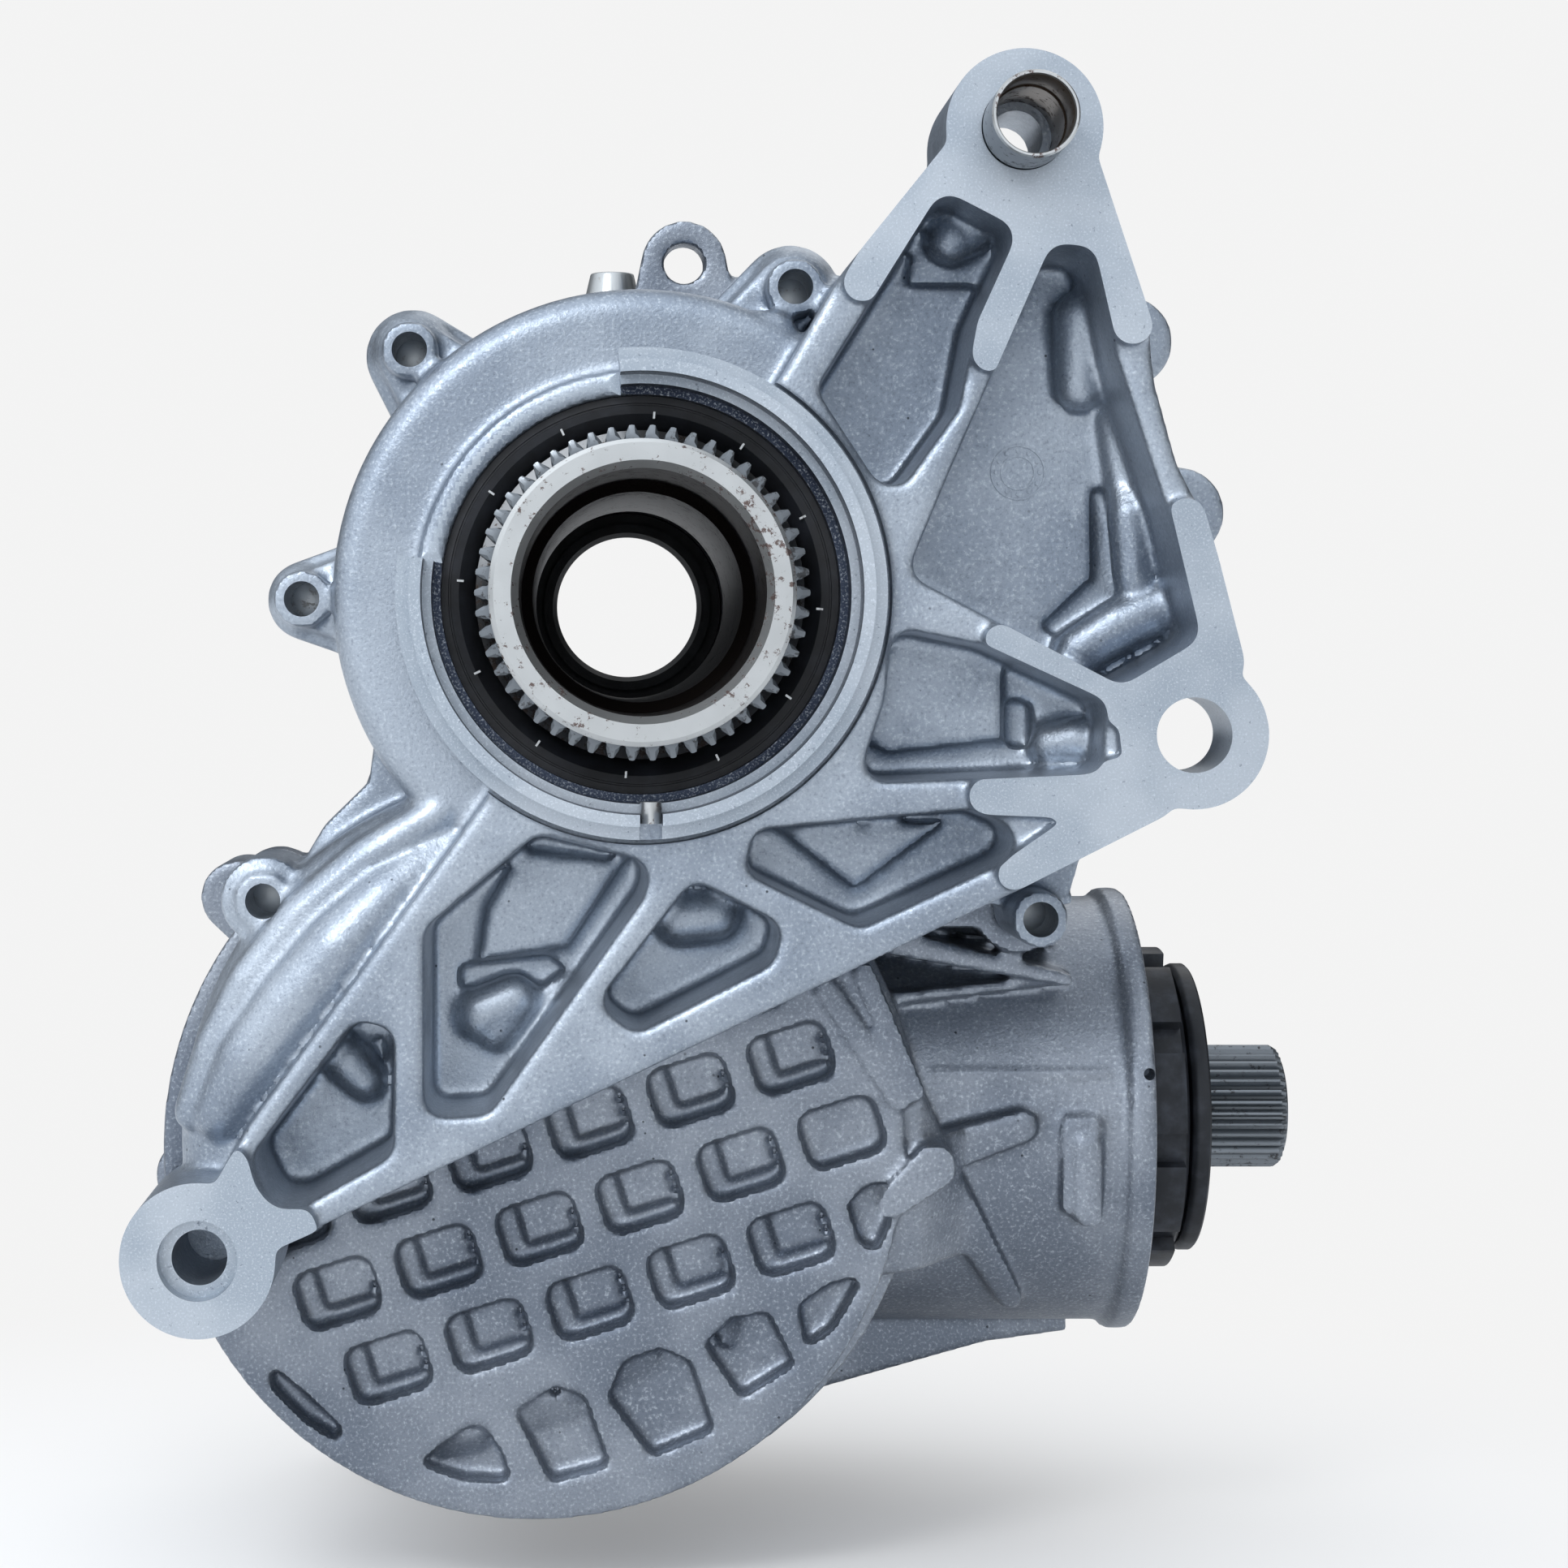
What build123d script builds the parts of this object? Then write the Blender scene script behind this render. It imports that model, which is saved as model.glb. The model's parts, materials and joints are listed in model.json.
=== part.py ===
from build123d import *
import math
import os

os.makedirs("parts", exist_ok=True)

# Millimetres, +Z up. The origin is on the input shaft's axis, in the plane of the machined ear
# faces that bolt to the gearbox. +Y runs back from the gearbox, +X towards the propeller shaft.

# Gear layout
input_teeth = 35
driven_teeth = 42
pinion_teeth = 16
ring_teeth = 37
ring_x = -17.5
ring_z = -108.0
pinion_y = 98.0
ring_pitch_r = 58.0
bevel_face = 18.0
gear_front = 51.0
gear_face = 12.0
helix_angle = 20.0
pressure_angle = 21.0
backlash = 0.45

# Casting levels along Y
ear_face = 0.0
rib_top = 2.5
arm_back = 34.0
joint_y = 50.0
drum_front = 38.0
drum_back = 144.0
body_wall = 4.5
drum_wall = 10.5

# Casting radii
collar_r = 45.6
collar_neck_r = 42.2
collar_lip = 7.0
notch_floor = 10.0
notch_angles = (95.6, 171.0)
pilot_r = 42.9
pilot_wall = 2.2
pilot_stand = 6.0
body_r = 58.5
drum_r = 74.5
disc_x = -20.3
disc_z = -108.5
disc_r = 73.0
snout_r = 45.0
rear_tube_r = 31.0

# Gearbox-side fixings
ear_r = 14.6
clear_r = 7.0
lower_thread_r = 5.2
lower_counterbore_r = 7.5
dowel_r = 8.0
dowel_bore = 7.1
dowel_stand = 15.0
dowel_hold = 13.0
top_ear = (70.9, 86.3)
right_ear = (102.3, -26.2)
lower_ear = (-82.2, -123.5)
top_ear_depth = 30.0
right_ear_depth = 18.5
lower_ear_depth = 26.0

# Case bolts, M8
bolt_r = 4.0
bolt_clear = 0.4
head_r = 7.0
head_h = 8.0
flange = 11.0
case_ears = [(-43.9, 47.1), (-64.5, -0.6), (-71.9, -58.4), (29.9, 59.1), (95.7, 50.0), (105.8, 16.5), (76.8, -61.9)]
case_ear_r = [9.2, 7.8, 8.4, 9.8, 9.0, 9.0, 9.0]
blind_ears = (4, 5)
lug_hole = (9.7, 67.3)
lug_hole_r = 4.1

# Input shaft
nose_y = -12.0
nose_r = 27.9
nose_bore = 22.6
spline_tip_r = 30.7
spline_root_r = 28.2
spline_teeth = 50
shaft_bore = 20.5
shaft_end = 113.0

# Tapered bearings: bore radius, outer radius, width and number of rollers
input_front_brg = (31.0, 45.5, 17.0, 18)
input_rear_brg = (26.0, 40.0, 15.0, 16)
ring_front_brg = (15.0, 26.0, 14.0, 12)
ring_rear_brg = (17.5, 36.0, 16.0, 12)
head_brg = (16.0, 34.0, 17.0, 12)
tail_brg = (14.0, 31.0, 15.0, 12)
race_gap = 0.17
input_front_y = 26.0
input_rear_y = 97.0
ring_front_y = 46.0
ring_rear_y = drum_back + 4
head_x = 46.0
tail_x = 79.0

# Seals, output and cover
axle_seal_y = 139.0
axle_tube_end = 150.0
axle_seal_id = 16.0
axle_seal_od = 25.0
snout_end = 105.0
lock_teeth = 9
lock_r = 34.0
flange_seal_r = 30.5
output_r = 13.0
output_end = 139.0
output_teeth = 34
cover_flange = 8.0
cover_bolts = 8
cover_bolt_circle = 82.0
shim = 1.0
dowel_pins = [(82.0, -28.0), (-60.0, -50.0)]
dowel_pin_r = 3.0
breather = (-4.5, 66.0, 61.0)
key_pin_x = 1.7
plug_r = 8.0
plug_angles = (157.0, 247.0)
plug_circle = 58.0
seat = 0.02


def point_xz(y):
    """Sketch plane across the input axis, drawn in X and Z and facing the gearbox."""
    return Plane(origin=(0, y, 0), x_dir=(1, 0, 0), z_dir=(0, -1, 0))


def block(sketch, front, back, taper=0.0):
    """Extrude an X-Z sketch from its back level forward to its front level."""
    return extrude(point_xz(back) * sketch, amount=back - front, taper=taper)


def rod(x, z, r, front, back):
    return block(Pos(x, z) * Circle(r), front, back)


def ring(x, z, r_out, r_in, front, back):
    return block(Pos(x, z) * Circle(r_out) - Pos(x, z) * Circle(r_in), front, back)


def turned_y(profile, x=0.0, z=0.0):
    """Turn a closed (radius, y) profile about an axis along Y."""
    return Pos(x, 0, z) * revolve(make_face(Polyline(*profile, close=True)), Axis.Y)


def turned_x(profile):
    """Turn a closed (x, radius) profile about the pinion's axis."""
    face = Plane.XZ * make_face(Polyline(*profile, close=True))
    return Pos(0, pinion_y, ring_z) * revolve(face, Axis.X)


def rounded(points, radius):
    """Closed polygon with every corner rounded."""
    face = make_face(Polyline(*points, close=True))
    return fillet(face.vertices(), radius)


def capsule(a, b, r_a, r_b):
    """Outline that joins two circles by their tangents."""
    return make_hull((Pos(*a) * Circle(r_a)).edges() + (Pos(*b) * Circle(r_b)).edges())


def write(name, shape):
    parts = shape if isinstance(shape, list) else [shape]
    solids = [s for p in parts for s in p.solids()]
    export_step(Compound(label=name, children=solids) if len(solids) > 1 else solids[0], f"parts/{name}.step")


# Front housing

arm_points = [
    (57, 84), (37.2, 59.5), (20, 30), (-30.2, -40.2), (-73, -99), (-84, -118), (-76, -125),
    (-59.9, -117.9), (70.7, -54.9), (98.9, -40.2), (108, -30), (111.6, -12.5), (104.9, 13.8),
    (99.6, 24.3), (95.5, 39.3), (94.4, 50.5), (84, 82),
]
pockets = [
    ([(55.8, 73.8), (68.9, 67), (61.4, 50.5), (58.4, 34.8), (47.9, 20.1), (44, 22), (33.5, 38.1)], 25.0),
    ([(76.4, 64), (83.1, 63.3), (87.2, 45.3), (97.4, 13.8), (102.6, -8), (88.8, -16.2), (50.5, 4), (58, 22)], 27.0),
    ([(47.5, -6.9), (63.6, -10.2), (85.7, -20.4), (84.9, -32.7), (41, -34.5), (46, -20)], 22.0),
    ([(21.6, -44.5), (61.4, -40.8), (70.7, -44.7), (66.6, -49.5), (40.7, -61.5), (20, -51.5)], 23.0),
    ([(9.9, -54), (25.7, -62), (23.9, -68.3), (-0.9, -81), (-7.4, -76.2)], 24.0),
    ([(-19.2, -45.5), (1, -50.5), (-0.2, -56), (-28.7, -96), (-39.5, -96.9), (-39.5, -62.7)], 26.0),
    ([(-53.1, -80.4), (-46.7, -81.5), (-47, -104), (-62.9, -113), (-67.7, -113), (-71.5, -104.7)], 27.0),
]
fingers = [
    [(top_ear, 14.3), ((40.9, 57.5), 3.5)],
    [(top_ear, 14.3), ((65.0, 44.8), 3.9)],
    [(top_ear, 14.3), ((90.9, 49.8), 3.7)],
    [(right_ear, 13.4), ((100.8, 14.1), 3.6)],
    [((92, -20), 6.0), ((66.8, -9), 3.4)],
    [((92, -36), 6.0), ((64, -37.5), 3.4)],
    [((94, -37), 5.0), ((68.9, -51.9), 3.0)],
]
lower_pad = [
    (-81.1, -102.3), (-77, -101.8), (-73, -104.5), (-72, -108), (-70, -111.6), (-67, -113.6), (-63, -113.5),
    (-60, -117.2), (-60.3, -119.8), (-65.7, -122.9), (-67.7, -128.6), (-71, -133.3), (-79.1, -137.4),
    (-85.8, -137.4), (-93.8, -131.9), (-96.8, -123.9), (-95.8, -119.2), (-90.4, -115.4), (-86, -108.5),
]


def joint_outline():
    """Joint face that both castings share, down to the cut through the drum."""
    left = [capsule(case_ears[i], (0.62 * case_ears[i][0], 0.62 * case_ears[i][1]), case_ear_r[i], 16) for i in (0, 1)]
    body = Circle(body_r) + left[0] + left[1]
    body += capsule(case_ears[3], (20, 40), case_ear_r[3], 16)
    right = [(20, 40), (96.0, 53.0), (107.0, 18.0), (84.0, -60.0), (74.0, -66.0),
             (-74.0, -66.0), (-61.2, -44.5), (-52.5, -36.0), (-50.0, -16.0)]
    body += make_face(Polyline(*right, close=True))
    for i in (2, 4, 5, 6):
        body += Pos(*case_ears[i]) * Circle(case_ear_r[i])
    return body


def arm_outline():
    """Bracket outline that reaches the three gearbox ears."""
    face = fillet(make_face(Polyline(*arm_points, close=True)).vertices(), 4)
    for ear, r in ((top_ear, ear_r), (right_ear, 13.8), (lower_ear, 14.5)):
        face += Pos(*ear) * Circle(r)
    return face


def finger_pads():
    """Machined faces on the ears and the rib roots beside them."""
    face = None
    for chain in fingers:
        piece = capsule(chain[0][0], chain[1][0], chain[0][1], chain[1][1])
        if len(chain) > 2:
            piece += capsule(chain[1][0], chain[2][0], chain[1][1], chain[2][1])
        face = piece if face is None else face + piece
    face += make_face(Spline(*lower_pad, periodic=True))
    return face & arm_outline()


def left_dome():
    """Smooth crescent wall outside the arm's upper left rail."""
    dome = fillet(rod(-18, -104, 70, 14, arm_back).edges().group_by(Axis.Y)[0], 12)
    keep = make_face(Polyline((-100, -108), (-80, -127.6), (-59.9, -117.9), (-8, -92), (30, -30), (-100, 10), close=True))
    return dome & block(keep, 10, arm_back + 1)


def collar_wedge(reach):
    """Sector of the collar that the notch takes away."""
    corners = [(reach * math.cos(math.radians(a)), reach * math.sin(math.radians(a))) for a in notch_angles]
    return make_face(Polyline((0, 0), corners[0], (-reach, reach), corners[1], close=True))


def front_housing():
    b_in, b_out, b_w, _ = input_front_brg
    shell = block(arm_outline(), rib_top, arm_back)
    shell += block(finger_pads(), ear_face, rib_top + 1)
    shell += left_dome()
    body = Circle(body_r) + capsule(case_ears[3], (20, 40), case_ear_r[3], 16)
    body += capsule(case_ears[0], (-27, 29), case_ear_r[0], 16)
    body += capsule(case_ears[1], (-40, 0), case_ear_r[1], 16)
    shell += block(body, arm_back - 6, joint_y, taper=7)
    shell += fillet(rod(0, 0, body_r, 14, joint_y).edges().group_by(Axis.Y)[0], 5)
    shell += block(joint_outline() & Rectangle(400, 240, align=(Align.CENTER, Align.MIN)).moved(Pos(0, -60)), arm_back, joint_y)
    collar = ring(0, 0, collar_r, 36, ear_face, collar_lip) + ring(0, 0, collar_neck_r, 36, collar_lip - 1, 16)
    collar += ring(0, 0, pilot_r, pilot_r - pilot_wall, -pilot_stand, 1)
    collar -= Pos(key_pin_x, -3, -42) * Box(4.0 + 2 * seat, 8 + 2 * seat, 7.4)
    shell += collar
    shell += fillet(block(Pos(11, 46) * RectangleRounded(38, 17, 4), 16, joint_y).edges().group_by(Axis.Y)[0], 3.5)
    for ear, r, depth in ((top_ear, ear_r, top_ear_depth), (right_ear, 13.8, right_ear_depth)):
        shell += rod(*ear, r, ear_face, depth)
    shell += rod(*lower_ear, 14.5, ear_face, lower_ear_depth)
    shell += rod(*case_ears[2], case_ear_r[2], 22, joint_y)
    for points, floor in pockets:
        shell -= block(rounded(points, 3.2), -2, floor, taper=-2)
    shell -= rod(0, 0, pilot_r - pilot_wall, -pilot_stand - 1, -1)
    shell -= ring(0, 0, pilot_r - pilot_wall + 0.01, 39.0, -2, 1.5)
    shell -= rod(0, 0, 39.0, -2, 8)
    shell -= rod(0, 0, 37.5, 7, input_front_y - 3)
    shell -= rod(0, 0, 35.0, 20, 30)
    shell -= rod(0, 0, b_out + seat, input_front_y, joint_y + 1)
    shell -= rod(0, 0, b_out + 4, input_front_y + b_w + 3, joint_y + 1)
    wedge = collar_wedge(90)
    shell -= block((Circle(collar_r + 0.5) - Circle(30)) & wedge, -10, notch_floor)
    for i, ear in enumerate(case_ears):
        front = arm_back + 2 if i in blind_ears else 10
        shell -= rod(*ear, bolt_r + 0.02, front, joint_y + 1)
    shell -= rod(*top_ear, dowel_r + seat, -1, dowel_hold)
    shell -= rod(*top_ear, 5.2, -1, top_ear_depth + 5)
    shell -= rod(*right_ear, clear_r, -1, arm_back + 1)
    shell -= rod(*right_ear, 14.5, right_ear_depth, arm_back + 1)
    shell -= rod(*lower_ear, lower_counterbore_r, -1, 4)
    shell -= rod(*lower_ear, lower_thread_r, -1, lower_ear_depth + 1)
    for spot in dowel_pins:
        shell -= rod(*spot, dowel_pin_r + seat, joint_y - 8, joint_y + 1)
    return shell


# Main housing

cell_start = (-19.2, -124.2)
cell_along = (19.84, 6.33)
cell_down = (9.97, -14.66)
cell_size = (15.6, 11.4)
cell_depth = 5.0
rim_cells = [
    [(-42.8, -170.3), (-34.4, -163.8), (-30.4, -162.8), (-26.4, -168.8), (-24.9, -173.8), (-34.4, -173.3)],
    [(-23.9, -159.8), (-15.9, -155.4), (-10.4, -157.3), (-5.5, -170.8), (-16.9, -173.8)],
    [(-5.5, -157.3), (-2.5, -150.4), (4.5, -147.9), (10.5, -150.4), (15.0, -163.8), (3.0, -168.8)],
    [(13.5, -146.9), (18.5, -141.9), (25.9, -140.9), (30.9, -150.9), (20.5, -157.3)],
    [(31.9, -139.4), (38.4, -134.9), (44.4, -133.9), (38.4, -143.9), (33.4, -147.4)],
    [(41.6, -119.5), (44.9, -116.0), (51.9, -114.7), (50.4, -121.0), (47.2, -128.4), (43.9, -126.9)],
    [(-73.2, -150.4), (-66.8, -155.4), (-58.3, -163.3), (-58.3, -166.3), (-65.3, -161.8), (-71.3, -155.9)],
]


def waffle():
    """Outlines of the cells in the drum's front face, in rows that climb to the right."""
    tilt = math.degrees(math.atan2(cell_along[1], cell_along[0]))
    cells = [fillet(make_face(Polyline(*points, close=True)).vertices(), 1.0) for points in rim_cells]
    for i in range(-6, 6):
        for k in range(-4, 2):
            x = cell_start[0] + i * cell_along[0] + k * cell_down[0]
            z = cell_start[1] + i * cell_along[1] + k * cell_down[1]
            if math.hypot(x - disc_x, z - disc_z) > disc_r - 12 or z > -66:
                continue
            cells.append(Pos(x, z) * Rot(0, 0, tilt) * RectangleRounded(*cell_size, 3))
    return cells


rib_node = (58.4, -111.8)
rib_fork = (52.4, -97.7)
snout_rib_lines = [
    (rib_node, (77.5, -105.8), 4.5, 3.2), (rib_node, (77.3, -143.5), 4.5, 2.4), (rib_node, rib_fork, 4.5, 4.0),
]
drum_rib_lines = [
    ((51.6, -98.2), (37.2, -76.8), 2.4, 2.1), ((54.6, -97.2), (44.5, -73.4), 2.0, 2.0), (rib_node, (50, -119), 4.5, 3.0),
]
gussets = [
    ([(38, -60), (56, -67.3), (88, -75.5), (88, -78), (56, -72.5), (38, -69)], 52),
    ([(50, -58), (67, -63.5), (86, -68.5), (86, -71), (60, -67), (50, -66)], 62),
    ([(50, -80), (86, -76), (86, -78), (50, -82.5)], 58),
]
web_points = [(46, -106), (60, -112), (70.5, -132), (52, -134.5), (36, -136)]
keel_points = [(20, -140), (92, -146), (94, -156.5), (76, -159), (60, -163.5), (30, -172), (20, -170)]


def snout_ribs():
    """Crossed ribs and gussets between the drum, the joint flange and the pinion's snout."""
    ribs = None
    for a, b, r_a, r_b in snout_rib_lines:
        piece = block(capsule(a, b, r_a, r_b), drum_front, pinion_y)
        ribs = piece if ribs is None else ribs + piece
    ribs += block(make_face(Polyline(*web_points, close=True)), drum_front, pinion_y)
    ribs &= turned_x([(20, 0), (20, 60), (56, 58), (66, snout_r + 3.5), (snout_end, snout_r + 3.5), (snout_end, 0)])
    for a, b, r_a, r_b in drum_rib_lines:
        ribs += block(capsule(a, b, r_a, r_b), drum_front - 1.5, drum_front + 24)
    for points, front in gussets:
        ribs += block(make_face(Polyline(*points, close=True)), front, pinion_y)
    return ribs + block(make_face(Polyline(*keel_points, close=True)), pinion_y, drum_back - 8)


def cavity():
    """Oil space for the gears, shared by the upper chamber and the drum."""
    space = rod(0, 0, body_r - body_wall, joint_y - 1, 68)
    space += rod(ring_x, ring_z, drum_r - drum_wall, joint_y - 1, drum_back + 1)
    low = (Pos(ring_x, ring_z) * Circle(drum_r - drum_wall)) & Rectangle(300, 200, align=(Align.CENTER, Align.MAX)).moved(Pos(0, -67))
    space += block(low, drum_front + 6.5, joint_y)
    return space


def main_housing():
    shell = block(joint_outline(), joint_y, joint_y + flange)
    shell += rod(0, 0, body_r, joint_y, 76)
    shell += fillet(rod(0, 0, body_r - 4, 70, 86).edges().group_by(Axis.Y)[-1], 7)
    shell += rod(0, 0, input_rear_brg[1] + 7, 70, input_rear_y + input_rear_brg[2] + 5)
    shell += rod(0, 0, rear_tube_r, 100, axle_tube_end)
    shell += rod(ring_x, ring_z, drum_r, joint_y, drum_back)
    low = (Pos(disc_x, disc_z) * Circle(disc_r)) & Rectangle(300, 200, align=(Align.CENTER, Align.MAX)).moved(Pos(0, -60.5))
    shell += block(low, drum_front, joint_y + 1)
    shell += turned_x([(20, 0), (20, snout_r), (snout_end - 5, snout_r), (snout_end - 5, snout_r + 1.5), (snout_end, snout_r + 1.5), (snout_end, 0)])
    shell += block(capsule((0, 0), (ring_x, ring_z), 40, 60), 86, 104) & block(Rectangle(160, 90).moved(Pos(0, -40)), 80, 110)
    shell += snout_ribs()
    shell += block(RectangleRounded(8, 20, 2).moved(Pos(89.8, -114)), pinion_y - snout_r - 1.5, pinion_y - 30)
    shell += block(RectangleRounded(5, 18, 1.5).moved(Pos(91.2, -117)), pinion_y - snout_r - 2.8, pinion_y - 30)
    shell += block(RectangleRounded(26, 17, 3).moved(Pos(17, 56.2)), joint_y + 1.3, joint_y + flange - 1.4)
    for x, z in cover_ring():
        inner = (ring_x + 0.75 * (x - ring_x), ring_z + 0.75 * (z - ring_z))
        shell += block(capsule((x, z), inner, 8, 12), drum_back - 22, drum_back)
    shell += block(capsule(lug_hole, (lug_hole[0], 50), 8.5, 12), joint_y, joint_y + 9)
    shell += Pos(*breather) * Cylinder(6.5, 14, align=(Align.CENTER, Align.CENTER, Align.MAX))
    shell -= cavity()
    shell += ring(ring_x, ring_z, ring_front_brg[1] + 5, ring_front_brg[1] + seat, drum_front + 5, ring_front_y + ring_front_brg[2])
    shell += turned_x([(head_x - 3, head_brg[1] - 5), (head_x - 3, snout_r - 1), (snout_end - 6, snout_r - 1), (snout_end - 6, 28), (tail_x, 28), (tail_x - 3, 26), (head_x + head_brg[2] + 4, 26)])
    shell -= rod(ring_x, ring_z, driven_tip_r + 2, gear_front - 1, gear_front + gear_face + 3) - rod(ring_x, ring_z, 40, 0, 60)
    shell -= rod(ring_x, ring_z, ring_pitch_r + 4, 112, drum_back + 1)
    shell -= rod(ring_x, ring_z, ring_front_brg[1] + seat, ring_front_y, ring_front_y + 30)
    shell -= rod(ring_x, ring_z, 14, ring_front_y - 1.5, ring_front_y + 1)
    cells = waffle()
    for cell in cells:
        shell -= block(cell, drum_front - 1, drum_front + cell_depth, taper=-3)
    ri, ro, rw, _ = input_rear_brg
    shell -= rod(0, 0, ri + 6, 60, input_rear_y + 1)
    shell -= rod(0, 0, ro + seat, 66, input_rear_y + rw)
    shell -= rod(0, 0, ro - 4, 80, input_rear_y + rw + 2)
    shell -= rod(0, 0, 22.0, 100, axle_tube_end + 1)
    shell -= rod(0, 0, axle_seal_od, axle_seal_y, axle_tube_end + 1)
    head_end = head_x + head_brg[2] + shim
    shell -= Pos(*breather) * Cylinder(2.5 + seat, 40)
    for spot in dowel_pins:
        shell -= rod(*spot, dowel_pin_r + seat, joint_y - 1, joint_y + 8)
    shell -= turned_x([(36, 0), (36, head_brg[1] + seat), (head_end, head_brg[1] + seat), (head_end, 28), (tail_x, 28), (tail_x, tail_brg[1] + seat), (snout_end + 1, tail_brg[1] + seat), (snout_end + 1, 0)])
    for ear in case_ears:
        shell -= rod(*ear, bolt_r + bolt_clear, joint_y - 1, joint_y + flange + 1)
        shell -= rod(*ear, head_r + 0.6, joint_y + flange, joint_y + flange + 30)
    shell -= rod(*case_ears[2], case_ear_r[2] + 0.6, drum_front - 1, joint_y)
    shell -= rod(*lug_hole, lug_hole_r, joint_y - 1, 80)
    for spot in cover_ring():
        shell -= rod(*spot, bolt_r + 0.02, drum_back - 14, drum_back + 1)
    return shell


def plug_spots():
    """Places of the fill and drain plugs, between the rear cover's ribs."""
    return [
        (ring_x + plug_circle * math.cos(math.radians(a)), ring_z + plug_circle * math.sin(math.radians(a)))
        for a in plug_angles
    ]


def cover_ring():
    """Places of the rear cover's bolts."""
    spots = []
    for i in range(cover_bolts):
        a = math.atan2(-ring_z, -ring_x) + 2 * math.pi * (i + 0.5) / cover_bolts
        spots.append((ring_x + cover_bolt_circle * math.cos(a), ring_z + cover_bolt_circle * math.sin(a)))
    return spots


def rear_cover():
    """Dished cover with a ribbed hub for the ring gear's rear bearing."""
    bore = ring_rear_brg[1]
    hub_end = ring_rear_y + ring_rear_brg[2] + shim + 4
    flange_face = drum_back + cover_flange
    outline = Pos(ring_x, ring_z) * Circle(drum_r)
    for x, z in cover_ring():
        inner = (ring_x + 0.75 * (x - ring_x), ring_z + 0.75 * (z - ring_z))
        outline += capsule((x, z), inner, 8, 12)
    cover = block(outline, drum_back, flange_face)
    hub = [(0, flange_face - 1), (bore + 12, flange_face - 1), (bore + 7, flange_face + 4), (bore + 6, hub_end), (0, hub_end)]
    cover += turned_y(hub, ring_x, ring_z)
    for i in range(cover_bolts):
        a = 180 + mesh_angle + 360 * i / cover_bolts
        rib = Pos(ring_x, ring_z) * Rot(0, 0, a) * Pos(54, 0) * Rectangle(26, 4.5)
        cover += block(rib, flange_face - 1, hub_end - 5)
    for spot in plug_spots():
        cover += rod(*spot, plug_r + 5, flange_face - 1, flange_face + 5)
    cover -= rod(ring_x, ring_z, drum_r - drum_wall - 3, drum_back - 1, drum_back + 5)
    cover -= rod(ring_x, ring_z, bore + seat, drum_back, ring_rear_y + ring_rear_brg[2] + shim)
    cover -= rod(ring_x, ring_z, bore - 5, drum_back, hub_end - 2)
    for spot in plug_spots():
        cover -= rod(*spot, plug_r + seat, drum_back - 1, flange_face + 6)
    for spot in cover_ring():
        cover -= rod(*spot, bolt_r + bolt_clear, drum_back - 1, flange_face + 1)
    return cover


# Gears

mesh_r = math.hypot(ring_x, ring_z)
spur_module = 2 * mesh_r / (input_teeth + driven_teeth)
input_pitch_r = spur_module * input_teeth / 2
driven_pitch_r = spur_module * driven_teeth / 2
spur_addendum = 0.8 * spur_module
spur_dedendum = 1.0 * spur_module
driven_tip_r = driven_pitch_r + spur_addendum
mesh_angle = math.degrees(math.atan2(ring_z, ring_x))
ratio = -input_teeth / driven_teeth


def involute(angle):
    return math.tan(angle) - angle


def half_angle(radius, pitch_r, module):
    """Half of a tooth's angle at a radius, for an involute tooth thinned by half the backlash."""
    alpha = math.radians(pressure_angle)
    base = pitch_r * math.cos(alpha)
    here = math.acos(min(1.0, base / max(radius, base)))
    return (math.pi * module / 2 - backlash / 2) / (2 * pitch_r) + involute(alpha) - involute(here)


def spur_outline(teeth, pitch_r, start):
    """Closed outline of a spur gear; start is the angle of the first tooth's middle."""
    root, tip = pitch_r - spur_dedendum, pitch_r + spur_addendum
    levels = [root, pitch_r - 0.45 * spur_module, pitch_r + 0.15 * spur_module, tip]
    points = []
    for i in range(teeth):
        middle = math.radians(start) + 2 * math.pi * i / teeth
        for sign, order in ((-1, levels), (1, levels[::-1])):
            for r in order:
                a = middle + sign * half_angle(r, pitch_r, spur_module)
                points.append((r * math.cos(a), r * math.sin(a)))
    return Polyline(*points, close=True)


def helical_rim(teeth, pitch_r, start, hand, x=0.0, z=0.0):
    """Toothed rim, twisted along its width."""
    outline = make_face(spur_outline(teeth, pitch_r, start))
    twist = hand * math.degrees(math.tan(math.radians(helix_angle)) * gear_face / pitch_r)
    front = point_xz(gear_front + gear_face) * outline
    rim = Solid.extrude_linear_with_rotation(front.face(), (0, gear_front + gear_face, 0), (0, -gear_face, 0), twist)
    return Pos(x, 0, z) * rim


def input_gear():
    seat_r, hub_front, hub_back = input_journals()
    rim = helical_rim(input_teeth, input_pitch_r, mesh_angle, 1)
    gear = rim + ring(0, 0, 40, 30, hub_front, hub_back)
    for y0, y1 in ((gear_front - 1, gear_front + 2.5), (gear_front + gear_face - 2.5, gear_front + gear_face + 1)):
        gear -= ring(0, 0, 45, 40, y0, y1)
    return gear - rod(0, 0, seat_r + seat, hub_front - 1, hub_back + 1)


def input_journals():
    """Seat radius, front and back of the gear on the input shaft."""
    return 33.0, input_front_y + input_front_brg[2] + 4, gear_front + gear_face + 5


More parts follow.
